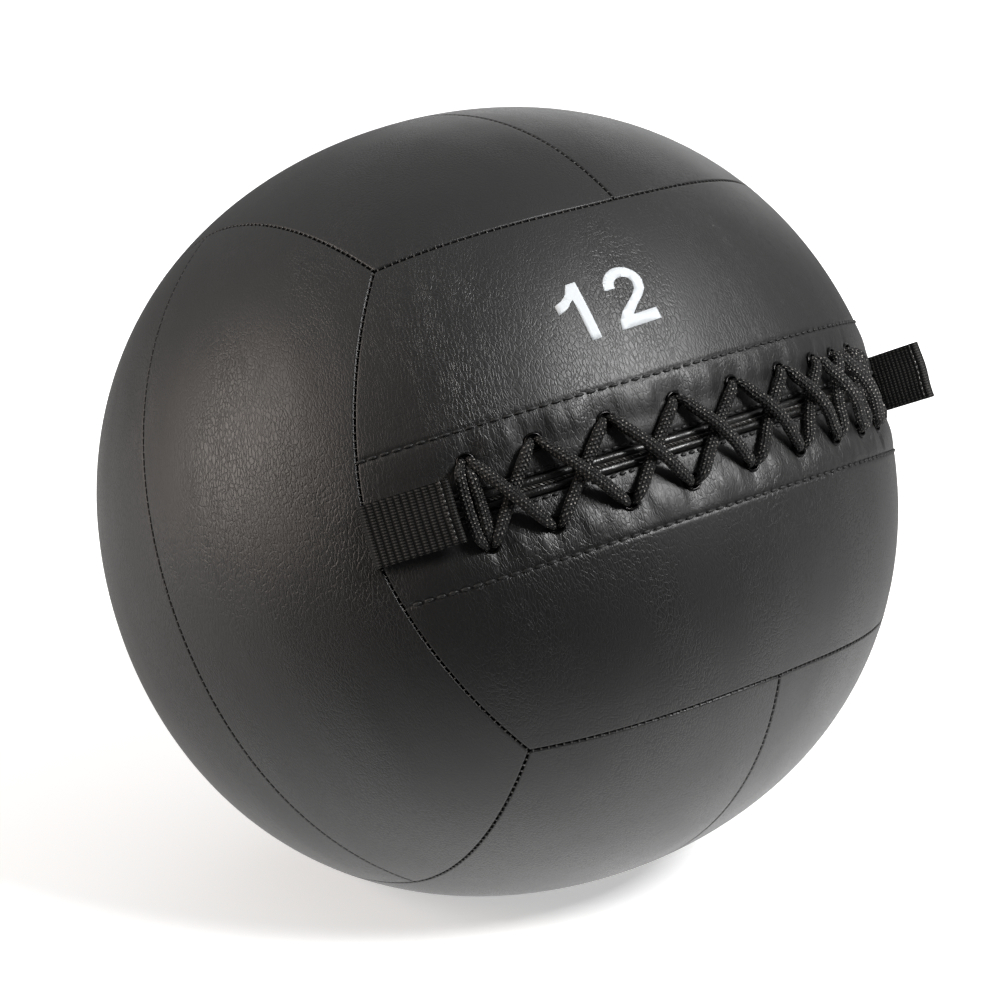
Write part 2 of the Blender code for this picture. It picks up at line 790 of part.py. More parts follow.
class BorePlace:
    """Place of one pass of the lace in an eyelet: left, right or middle."""

    def __init__(self, arc, half, slot):
        sideways, inward = BORE_SLOTS[slot]
        self.frame = eyelet_frame(arc, half)
        self.offset = (sideways * BORE_SPREAD, -half * inward * BORE_SPREAD)
        self.arc = arc + self.offset[0]
        self.height = half * EYELET_OFFSET + self.offset[1]


def between(start, end, share, bulge):
    """Arc and height part of the way between two places, bowed sideways by the bulge."""
    arc = start.arc + (end.arc - start.arc) * share + bulge * sin(pi * share)**BULGE_POWER
    return arc, start.height + (end.height - start.height) * share


def knot_arc(arcs):
    """Arc of the knot, between the first two pairs of eyelets."""
    return (arcs[1][0] + arcs[1][1]) / 2


def lace_route():
    """Whole route: out along the rising strands, round the far end twice, back along the falling ones."""
    arcs = eyelet_arcs()
    last = len(arcs[1]) - 1
    tail_gap = KNOT_RADIUS + LACE_GAP
    aside = WRAP_SPREAD / 3

    def place(column, half, slot):
        return BorePlace(arcs[half][column], half, slot)

    def tail(half, slot, outwards):
        start = place(0, half, slot)
        inwards = LACE_RADIUS * TAIL_INSET_RADII if slot == "middle" else 0.0
        knot = knot_arc(arcs)
        depth = lace_under_depth(False)
        steps = [
            (start.arc + LACE_RADIUS * TAIL_LEAD_RADII, start.height - half * inwards, -depth),
            (knot - LACE_RADIUS, half * (tail_gap + 2 * LACE_RADIUS), -depth),
            (knot, half * (tail_gap + LACE_NECK_RADIUS), -depth),
            (knot, half * tail_gap, -depth),
        ]
        if not outwards:
            route.add_in_bore(start, -eyelet_back_depth() - EYELET_GAP)
        for arc, height, lift in reversed(steps) if outwards else steps:
            route.add(arc, height, lift, LACE_NECK_RADIUS)
        if outwards:
            route.add_in_bore(start, -eyelet_back_depth() - EYELET_GAP)

    route = LaceRoute()
    tail(-1, "right", outwards=True)
    for column in range(last):
        bulge = -aside if column + 1 == last else 0.0
        route.over(place(column, -1, "right"), place(column + 1, 1, "left"), crossing=False, bulge=bulge)
        if column + 1 < last:
            route.under(place(column + 1, 1, "left"), place(column + 1, -1, "right"))
    route.under(place(last, 1, "left"), place(last, -1, "right"), deep=True)
    route.over(place(last, -1, "right"), place(last, 1, "right"), crossing=False, bulge=WRAP_SPREAD + aside)
    route.under(place(last, 1, "right"), place(last, -1, "middle"), bulge=aside)
    route.over(place(last, -1, "middle"), place(last, 1, "middle"), crossing=False, bulge=aside)
    route.under(place(last, 1, "middle"), place(last, -1, "left"))
    for column in range(last, 0, -1):
        route.over(place(column, -1, "left"), place(column - 1, 1, "right"), crossing=True)
        if column > 1:
            route.under(place(column - 1, 1, "right"), place(column - 1, -1, "left"), deep=True)
    route.under(place(0, 1, "right"), place(0, -1, "left"), deep=True)
    route.over(place(0, -1, "left"), place(0, 1, "left"), crossing=False, bulge=-WRAP_SPREAD)
    route.under(place(0, 1, "left"), place(0, -1, "middle"), bulge=-1.5 * aside)
    route.over(place(0, -1, "middle"), place(0, 1, "middle"), crossing=False)
    tail(1, "middle", outwards=False)
    return route


def make_lace(collection, parent):
    """One unbroken tube along the whole route."""
    route = lace_route()
    curve = bpy.data.curves.new("lace", "CURVE")
    curve.dimensions = "3D"
    curve.bevel_depth = LACE_RADIUS
    curve.bevel_resolution = 1
    curve.use_fill_caps = True
    spline = curve.splines.new("POLY")
    spline.points.add(len(route.points) - 1)
    for point, place, radius in zip(spline.points, route.points, route.radii):
        point.co = (*place, 1)
        point.radius = radius / LACE_RADIUS
    print(f"lace: {len(route.points)} points, least gap to itself {route.least_gap() / MM:.2f} mm")
    return add_object("lace", curve, BRAID, collection, parent)


def make_lace_knot(collection, parent):
    """Flattened knot that ties the lace's two ends behind the facings."""
    bm = bmesh.new()
    bmesh.ops.create_uvsphere(bm, u_segments=12, v_segments=8, radius=KNOT_RADIUS)
    bmesh.ops.scale(bm, vec=(1, KNOT_FLATNESS_SHARE, 1), verts=bm.verts)
    knot = add_object("lace_knot", mesh_from(bm, "lace_knot"), BRAID, collection, parent)
    arc = knot_arc(eyelet_arcs())
    depth = lace_under_depth(False)
    knot.location = on_front(arc, 0.0, -depth)
    knot.rotation_euler = (0, 0, arc / BALL_RADIUS)
    return knot


# Webbing tabs


def tab_thickness():
    """Thickness of the two layers of a folded tab."""
    return 2 * WEBBING_THICKNESS + WEBBING_SLOT


def rounded_strip(start, end, radius):
    """Outline of a strip between two centres, clockwise, with half-round ends."""
    angles = [pi / 2 - pi * step / TAB_FOLD_SIDES for step in range(TAB_FOLD_SIDES + 1)]
    far = [(end + radius * cos(angle), radius * sin(angle)) for angle in angles]
    near = [(start - radius * cos(angle), -radius * sin(angle)) for angle in angles]
    return far + near


def tab_frame(side, lean):
    """Matrix of a tab: origin on its hinge line, X along the tab, Z up the seam."""
    direction = unit(junction("front", side))
    rise = tab_thickness() / 2 + TAB_RISE
    origin = Vector(direction * (cover_reach(direction) + rise))
    outwards = atan2(direction[1], direction[0])
    turn = outwards - side * lean
    return Matrix.Translation(origin) @ Matrix.Rotation(turn, 4, "Z")


def make_tab(name, side, lean, collection, parent):
    """Webbing folded double and sewn together at its seam, extruded to its width."""
    curve = bpy.data.curves.new(name, "CURVE")
    curve.dimensions = "2D"
    curve.fill_mode = "BOTH"
    curve.extrude = WEBBING_WIDTH / 2
    bend = TAB_LENGTH - tab_thickness() / 2
    outline = rounded_strip(0.0, bend, tab_thickness() / 2)
    slot = rounded_strip(TAB_SEWN_LENGTH, bend, WEBBING_SLOT / 2)
    for loop in (outline, slot[::-1]):
        spline = curve.splines.new("POLY")
        spline.points.add(len(loop) - 1)
        for point, place in zip(spline.points, loop):
            point.co = (*place, 0, 1)
        spline.use_cyclic_u = True
    tab = add_object(name, curve, WEBBING, collection, parent)
    tab.matrix_local = tab_frame(side, lean)
    return tab


# Core and padding


def turned_piece(name, profile, finish, sides, collection, parent):
    """Piece turned about Z from a profile of (radius, height) that runs down its outer side."""
    mesh = profile_mesh(name, profile, closed=profile[0][0] > 0)
    piece = add_object(name, mesh, finish, collection, parent)
    turn_about_z(piece, sides)
    return piece


def bag_side(radius, first, last):
    """Profile points of a sphere between two angles from its top."""
    angles = [first + (last - first) * step / CORE_RINGS for step in range(CORE_RINGS + 1)]
    return [(radius * sin(angle), radius * cos(angle)) for angle in angles]


def make_core(collection, parent):
    """Core bag with a neck, its filling and its tie."""
    inside = CORE_RADIUS - CORE_BAG_THICKNESS
    neck_inside = CORE_NECK_RADIUS - CORE_BAG_THICKNESS
    neck_top = CORE_RADIUS + CORE_NECK_LENGTH
    outer_start = asin(CORE_NECK_RADIUS / CORE_RADIUS)
    inner_start = asin(neck_inside / inside)
    outer = [(CORE_NECK_RADIUS, neck_top), *bag_side(CORE_RADIUS, outer_start, pi)]
    inner = [*reversed(bag_side(inside, inner_start, pi)), (neck_inside, neck_top)]
    outer[-1] = (0.0, -CORE_RADIUS)
    inner[0] = (0.0, -inside)
    turned_piece("core_bag", [*outer, *inner], CORE_CLOTH, CORE_SIDES, collection, parent)

    fill_radius = inside - CORE_GAP
    fill_start = asin(neck_inside / fill_radius)
    fill = [(0.0, fill_radius * cos(fill_start)), *bag_side(fill_radius, fill_start, pi)]
    fill[-1] = (0.0, -fill_radius)
    turned_piece("iron_sand", fill, SAND, CORE_SIDES, collection, parent)

    bpy.ops.mesh.primitive_torus_add(
        major_segments=CORE_SIDES, minor_segments=6,
        major_radius=CORE_NECK_RADIUS + CORE_TIE_RADIUS + EYELET_GAP, minor_radius=CORE_TIE_RADIUS)
    tie = bpy.context.active_object
    for holder in list(tie.users_collection):
        holder.objects.unlink(tie)
    collection.objects.link(tie)
    tie.name = "core_tie"
    tie.data.materials.append(make_material("core_tie", CORD))
    tie.parent = parent
    tie.location = (0, 0, CORE_RADIUS + CORE_NECK_LENGTH / 2)


def pocket_share(direction):
    """One round the core's neck, falling to zero beside it."""
    angle = atan2(hypot(direction[0], direction[1]), direction[2])
    return float(np.interp(angle, (PADDING_POCKET_ANGLE, PADDING_POCKET_END), (1, 0)))


def padding_outer_reach(direction):
    """Distance to the padding's face, inside the liner and its dip."""
    arc, height = arc_and_height(direction)
    depth = COVER_THICKNESS + LINER_GAP + LINER_THICKNESS + PADDING_SLACK
    depth += PADDING_FLOOR_SLACK * floor_share(direction)
    if direction[1] < 0:
        dip = under_tongue_depth() - COVER_THICKNESS
        widths = [share * VALLEY_HALF_WIDTH for share in PADDING_DIP_WIDTHS]
        depth += dip * np.interp(abs(height), widths, (1, 0))
    return cover_reach(direction, depth)


def padding_inner_reach(direction):
    """Distance to the padding's inner face, round the core bag and its neck."""
    ring = cos(pi / PADDING_RINGS / 2) * cos(pi / PADDING_SIDES)
    round_core = (CORE_RADIUS + CORE_GAP) / ring
    neck = CORE_RADIUS + CORE_NECK_LENGTH + CORE_BAG_THICKNESS
    return round_core + (neck / ring - round_core) * pocket_share(direction)


def half_ball(reach, side):
    """Mesh of one open half of a ball-like surface."""
    bm = bmesh.new()
    bmesh.ops.create_uvsphere(bm, u_segments=PADDING_SIDES, v_segments=PADDING_RINGS, radius=1)
    bmesh.ops.bisect_plane(bm, geom=[*bm.verts, *bm.edges, *bm.faces], dist=MERGE_DISTANCE,
                           plane_co=(0, 0, 0), plane_no=(side, 0, 0), clear_inner=True)
    for vertex in bm.verts:
        direction = np.array(vertex.co.normalized())
        vertex.co = Vector(direction) * reach(direction)
    mesh = bpy.data.meshes.new("half")
    bm.to_mesh(mesh)
    bm.free()
    return mesh


def make_padding(collection, parent):
    """Two thick halves of fibre padding round the core."""
    for side, name in ((-1, "left_padding"), (1, "right_padding")):
        bm = bmesh.new()
        inner = half_ball(padding_inner_reach, side)
        bm.from_mesh(inner)
        bmesh.ops.reverse_faces(bm, faces=bm.faces)
        outer = half_ball(padding_outer_reach, side)
        bm.from_mesh(outer)
        for mesh in (inner, outer):
            bpy.data.meshes.remove(mesh)
        rims = [edge for edge in bm.edges if edge.is_boundary]
        bmesh.ops.bridge_loops(bm, edges=rims)
        bmesh.ops.recalc_face_normals(bm, faces=bm.faces)
        bmesh.ops.translate(bm, vec=(side * CORE_GAP / 2, 0, 0), verts=bm.verts)
        add_object(name, mesh_from(bm, name), FIBRE, collection, parent)


def lay_down(empty):
    """Lay the ball on the floor, leaned back and flattened where it rests."""
    empty.matrix_world = Matrix.Translation((0, 0, CENTRE_HEIGHT)) @ ball_pose().to_4x4()


def main():
    """Build the whole ball."""
    clear_scene()
    collection = new_collection("wall_ball")
    cutters = new_collection("wall_ball_cutters")
    pose = bpy.data.objects.new("ball_pose", None)
    collection.objects.link(pose)
    lay_down(pose)

    panels = make_cover(collection, pose)
    facings = make_facings(collection, pose)
    cut_eyelet_holes(panels, facings, cutters, pose)
    make_eyelets(collection, pose)
    make_lace(collection, pose)
    make_lace_knot(collection, pose)
    make_tongue(collection, pose)
    make_liner(collection, pose)
    make_padding(collection, pose)
    make_core(collection, pose)
    make_tab("left_webbing_tab", -1, pi / 2, collection, pose)
    make_tab("right_webbing_tab", 1, RIGHT_TAB_LEAN, collection, pose)
    bpy.context.view_layer.update()


main()
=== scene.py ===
"""Wall ball, dressed: grained vinyl cover, rolled lips, braided lace, webbing tabs and filling.

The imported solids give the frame. Every piece is modelled in the ball's own frame, centred on the
ball with its laced front towards -Y, and is then laid down in its mesh as the ball lies.
"""

import logging
from collections.abc import Callable, Sequence
from dataclasses import dataclass, field
from enum import Enum
from math import asin, atan2, cos, hypot, pi, radians, sin, tau

import bmesh
import bpy
import numpy as np
from mathutils import Matrix, Vector

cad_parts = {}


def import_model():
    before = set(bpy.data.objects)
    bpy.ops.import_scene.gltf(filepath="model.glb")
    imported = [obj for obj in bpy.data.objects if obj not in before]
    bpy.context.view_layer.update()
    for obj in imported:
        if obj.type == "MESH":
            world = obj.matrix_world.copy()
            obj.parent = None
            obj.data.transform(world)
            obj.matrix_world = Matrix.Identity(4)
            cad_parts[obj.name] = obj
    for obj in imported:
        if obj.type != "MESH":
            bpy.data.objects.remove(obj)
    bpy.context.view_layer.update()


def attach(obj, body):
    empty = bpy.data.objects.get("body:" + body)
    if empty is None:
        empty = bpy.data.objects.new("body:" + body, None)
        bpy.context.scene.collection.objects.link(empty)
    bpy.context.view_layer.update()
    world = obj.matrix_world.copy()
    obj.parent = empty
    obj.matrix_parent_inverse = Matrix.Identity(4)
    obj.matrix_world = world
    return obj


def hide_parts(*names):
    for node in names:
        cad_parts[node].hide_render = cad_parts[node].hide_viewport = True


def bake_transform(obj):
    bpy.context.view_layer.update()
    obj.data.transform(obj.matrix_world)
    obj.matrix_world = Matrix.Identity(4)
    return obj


MM = 0.001
MERGE = 0.001 * MM
X, Y, Z = range(3)
LOG = logging.getLogger("wall_ball")


def linear(hex_colour: str) -> tuple[float, float, float, float]:
    """Turn an sRGB hex value into the linear colour that Blender works in.

    Args:
        hex_colour: Colour such as "#1a1a1a".

    Returns:
        Red, green and blue in linear light, and an alpha of one.
    """
    channels = [int(hex_colour[index : index + 2], 16) / 255 for index in (1, 3, 5)]
    red, green, blue = (c / 12.92 if c <= 0.04045 else ((c + 0.055) / 1.055) ** 2.4 for c in channels)
    return red, green, blue, 1.0


def fill_inputs(tree: bpy.types.NodeTree, node: bpy.types.Node, inputs: dict[str | int, object]) -> None:
    """Give a node's named or numbered inputs their values, or link them to other nodes' outputs."""
    for name, value in inputs.items():
        if isinstance(value, bpy.types.NodeSocket):
            tree.links.new(value, node.inputs[name])
        else:
            node.inputs[name].default_value = value


def add_node(
    tree: bpy.types.NodeTree,
    kind: str,
    inputs: dict[str | int, object] | None = None,
    output: str | int = 0,
    **settings: object,
) -> bpy.types.NodeSocket:
    """Add one shader node with its settings, and its inputs as values or as links.

    Args:
        tree: Node tree of the material or world.
        kind: Blender's name for the node, less the ShaderNode that it starts with.
        inputs: Value or output socket for each named or numbered input.
        output: Name or number of the output to hand back.
        settings: Properties of the node.

    Returns:
        That output of the new node.
    """
    node = tree.nodes.new(f"ShaderNode{kind}")
    for name, value in settings.items():
        setattr(node, name, value)
    fill_inputs(tree, node, inputs or {})
    return node.outputs[output]


def new_material(name: str) -> tuple[bpy.types.Material, bpy.types.NodeTree, bpy.types.Node]:
    """Start a material from its Principled shader.

    Args:
        name: Common name of the real material.

    Returns:
        The material, its tree and its shader node.
    """
    material = bpy.data.materials.new(name)
    material.use_nodes = True
    tree = material.node_tree
    return material, tree, tree.nodes["Principled BSDF"]


def unit(vectors: np.ndarray) -> np.ndarray:
    """Scale each row to length one."""
    return vectors / np.linalg.norm(vectors, axis=-1, keepdims=True)


def run_along(points: np.ndarray) -> np.ndarray:
    """Distance along a line at each of its points."""
    return np.concatenate(([0.0], np.cumsum(np.linalg.norm(np.diff(points, axis=0), axis=1))))


def mound(apart: np.ndarray | float, width: float) -> np.ndarray:
    """Height of a soft mound of height one, this far from its middle."""
    return np.exp(-((apart / width) ** 2))


def mesh_of(bm: bmesh.types.BMesh, name: str) -> bpy.types.Mesh:
    """Pour a bmesh out into a new mesh."""
    mesh = bpy.data.meshes.new(name)
    bm.to_mesh(mesh)
    bm.free()
    return mesh


def put(name: str, data: bpy.types.ID) -> bpy.types.Object:
    """Put a mesh, a lamp or a camera into the scene."""
    thing = bpy.data.objects.new(name, data)
    bpy.context.scene.collection.objects.link(thing)
    return thing


def wall(piece: bpy.types.Object, thickness: float, offset: float = -1.0) -> None:
    """Give an open surface its thickness, inwards unless the offset says otherwise."""
    shell = piece.modifiers.new("wall", "SOLIDIFY")
    shell.thickness = thickness
    shell.offset = offset


# Shape of the ball, as its solids have it


@dataclass(frozen=True)
class BallForm:
    """The ball's form: a slightly squared sphere, drawn in at its lacing and flat on the floor."""

    radius: float = 175 * MM
    squareness: float = 0.048
    mean_fourth_powers: float = 0.6
    lean_back: float = radians(21.9)
    roll: float = radians(4.4)
    floor_flattening: float = 9.5 * MM
    floor_shoulder: float = 2 * MM
    floor_view: float = 0.2
    valley_depth: float = 3.5 * MM
    valley_half_width: float = 31.5 * MM
    valley_fade: float = 64 * MM
    junction_reach: float = 1.415

    def pose(self) -> Matrix:
        """Turn of the ball as it lies."""
        return Matrix.Rotation(-self.lean_back, 3, "X") @ Matrix.Rotation(-self.roll, 3, "Y")

    def down(self) -> np.ndarray:
        """Direction of gravity in the ball's own frame."""
        return -np.array(self.pose().row[2])

    def round_reach(self, directions: np.ndarray) -> np.ndarray:
        """Distance from the centre to the cover before it is drawn in or flattened."""
        fourth_powers = np.sum(directions**4, axis=-1)
        return self.radius * (1 - self.squareness * (fourth_powers - self.mean_fourth_powers))

    def centre_height(self) -> float:
        """Height of the ball's centre above the floor."""
        return float(self.round_reach(self.down())) - self.floor_flattening

    def half_front(self) -> float:
        """Arc from the middle of the front to the end of its mid-line."""
        return self.radius * atan2(self.junction_reach, 1)

    def arc_and_height(self, directions: np.ndarray) -> tuple[np.ndarray, np.ndarray]:
        """Arc round the front from its middle, and height above its mid-line."""
        arc = self.radius * np.arctan2(directions[..., X], -directions[..., Y])
        return arc, self.radius * directions[..., Z]

    def front_direction(self, arc: np.ndarray, height: np.ndarray) -> np.ndarray:
        """Unit direction from the centre to places on the front."""
        arc, height = np.broadcast_arrays(np.asarray(arc, float), np.asarray(height, float))
        tilt = np.arcsin(height / self.radius)
        turn = arc / self.radius
        return np.stack((np.sin(turn) * np.cos(tilt), -np.cos(turn) * np.cos(tilt), np.sin(tilt)), axis=-1)

    def valley(self, directions: np.ndarray) -> np.ndarray:
        """How far the lace draws the cover in."""
        arc, height = self.arc_and_height(directions)
        inside = np.abs(height) < self.valley_half_width
        across = np.where(inside, 0.5 + 0.5 * np.cos(pi * height / self.valley_half_width), 0.0)
        along = np.interp(self.half_front() - np.abs(arc), (0, self.valley_fade), (0, 1))
        return self.valley_depth * across * along

    def reach(self, directions: np.ndarray, depth: float | np.ndarray = 0.0) -> np.ndarray:
        """Distance from the centre to a layer under the cover's face.

        Args:
            directions: Unit directions in the ball's frame.
            depth: Depth of the layer; a negative one stands proud.

        Returns:
            Distance for each direction, flat where the ball rests.
        """
        reach = self.round_reach(directions) - self.valley(directions) - depth
        drop = directions @ self.down()
        below = drop > self.floor_view
        floor_reach = np.where(below, (self.centre_height() - depth) / np.where(below, drop, 1.0), np.inf)
        near = np.where(below, np.abs(reach - np.where(below, floor_reach, 0.0)), np.inf)
        shoulder = np.maximum(self.floor_shoulder - near, 0.0)
        return np.minimum(reach, floor_reach) - shoulder**2 / (4 * self.floor_shoulder)

    def on_front(self, arc: np.ndarray, height: np.ndarray, lift: float | np.ndarray = 0.0) -> np.ndarray:
        """Points on the front, lifted off the cover."""
        directions = self.front_direction(arc, height)
        return directions * (self.reach(directions) + lift)[..., None]

    def lay_down(self, points: np.ndarray) -> np.ndarray:
        """Points of the ball's frame as they lie on the floor."""
        turned = points @ np.array(self.pose()).T
        turned[..., Z] += self.centre_height()
        return turned

    def lay(self) -> Matrix:
        """The same move as a matrix."""
        return Matrix.Translation((0, 0, self.centre_height())) @ self.pose().to_4x4()


@dataclass(frozen=True)
class Face:
    """One of the six faces of the cover.

    Attributes:
        normal: Axis that the face looks along.
        side: Which way along that axis.
        mid: Axis that its mid-line runs along.
        split: Axis that separates its two panels.
        names: Names of the high and the low panel.
    """

    normal: int
    side: int
    mid: int
    split: int
    names: tuple[str, str]


FACES = {
    "front": Face(Y, -1, X, Z, ("upper", "lower")),
    "back": Face(Y, 1, X, Z, ("upper", "lower")),
    "top": Face(Z, 1, Y, X, ("right", "left")),
    "bottom": Face(Z, -1, Y, X, ("right", "left")),
    "left": Face(X, -1, Z, Y, ("back", "front")),
    "right": Face(X, 1, Z, Y, ("back", "front")),
}


@dataclass(frozen=True)
class SeamNet:
    """Lines of the seams over the ball."""

    form: BallForm
    front_corner: float = 0.915
    bend_power: float = 1.65
    samples: int = 241
    drifts: tuple[tuple[str, int, float], ...] = (("top", -1, -0.09), ("left", 1, 0.07))
    corner_drifts: tuple[tuple[tuple[int, int, int], tuple[float, float, float]], ...] = (
        ((-1, -1, 1), (-0.02, 0.0, 0.045)),
        ((-1, -1, -1), (0.02, 0.0, -0.01)),
    )

    def junction(self, face: str, end: int) -> np.ndarray:
        """Direction of the end of a face's mid-line."""
        plan = FACES[face]
        point = np.zeros(3)
        point[plan.normal] = plan.side
        point[plan.mid] = end * self.form.junction_reach
        point[plan.split] = sum(drift for name, side, drift in self.drifts if (name, side) == (face, end))
        return point

    def corner(self, face: str, end: int, half: int) -> np.ndarray:
        """Direction of a corner where three faces meet.

        Args:
            face: Name of one of the faces.
            end: Which end of the mid-line.
            half: Which side of it.

        Returns:
            The corner, drawn in where the front is narrower.
        """
        plan = FACES[face]
        point = np.zeros(3)
        point[plan.normal], point[plan.mid], point[plan.split] = plan.side, end, half
        drift = dict(self.corner_drifts).get(tuple(point.astype(int)), (0.0, 0.0, 0.0))
        if point[Y] < 0:
            point[Z] *= self.front_corner
        return point + np.array(drift)

    def spread(self, points: np.ndarray, shares: np.ndarray) -> np.ndarray:
        """Unit directions at the given shares of a line's length."""
        points = unit(points)
        along = run_along(points)
        picked = [np.interp(np.asarray(shares) * along[-1], along, points[:, axis]) for axis in range(3)]
        return unit(np.array(picked).T)

    def half_seam(self, face: str, end: int, half: int, shares: np.ndarray) -> np.ndarray:
        """Seam from the end of a face's mid-line to one of its corners.

        Args:
            face: Name of the face.
            end: Which end of the mid-line.
            half: Which side of it.
            shares: Shares of the seam's length.

        Returns:
            Unit direction at each share.
        """
        tip = self.junction(face, end)
        edge = self.corner(face, end, half) - tip
        steps = np.linspace(0, 1, self.samples)
        points = tip + edge * steps[:, None]
        bulge = FACES[face].mid
        points[:, bulge] = tip[bulge] + edge[bulge] * steps**self.bend_power
        return self.spread(points, shares)

    def mid_line(self, face: str, shares: np.ndarray) -> np.ndarray:
        """Mid-line of a face from one junction to the other."""
        return self.spread(np.linspace(self.junction(face, -1), self.junction(face, 1), self.samples), shares)

    def outer_seam(self, face: str, half: int, shares: np.ndarray) -> np.ndarray:
        """Seam opposite the mid-line of a panel, made of two half seams of its neighbour."""
        plan = FACES[face]
        other = next(name for name, seen in FACES.items() if seen.normal == plan.split and seen.side == half)
        shares = np.asarray(shares)
        before = self.half_seam(other, plan.side, -1, np.clip(1 - 2 * shares, 0, 1))
        after = self.half_seam(other, plan.side, 1, np.clip(2 * shares - 1, 0, 1))
        return np.where((shares < 0.5)[:, None], before, after)

    def panel(self, face: str, half: int, across: np.ndarray, along: np.ndarray) -> np.ndarray:
        """Grid of directions over one panel.

        Args:
            face: Name of the face.
            half: Which of its two panels.
            across: Shares from the mid-line to the outer seam, one for each row.
            along: Shares along the mid-line, one for each column.

        Returns:
            Unit directions, rows by columns.
        """
        ends = np.array([0.0, 1.0])
        middle, outer = self.mid_line(face, along), self.outer_seam(face, half, along)
        near, far = self.half_seam(face, -1, half, across), self.half_seam(face, 1, half, across)
        low_start, low_end = self.mid_line(face, ends)
        high_start, high_end = self.outer_seam(face, half, ends)
        u, v = along[None, :, None], across[:, None, None]
        ruled = (1 - v) * middle[None] + v * outer[None]
        sides = (1 - u) * near[:, None] + u * far[:, None]
        corners = (1 - v) * ((1 - u) * low_start + u * low_end) + v * ((1 - u) * high_start + u * high_end)
        return unit(ruled + sides - corners)

    def lines(self) -> list[np.ndarray]:
        """Every sewn line of the cover once, as unit directions."""
        shares = np.linspace(0, 1, self.samples)
        found = [self.mid_line(face, shares) for face in FACES if face != "front"]
        for face in FACES:
            found += [self.half_seam(face, end, half, shares) for end in (-1, 1) for half in (-1, 1)]
        return found


# Meshes


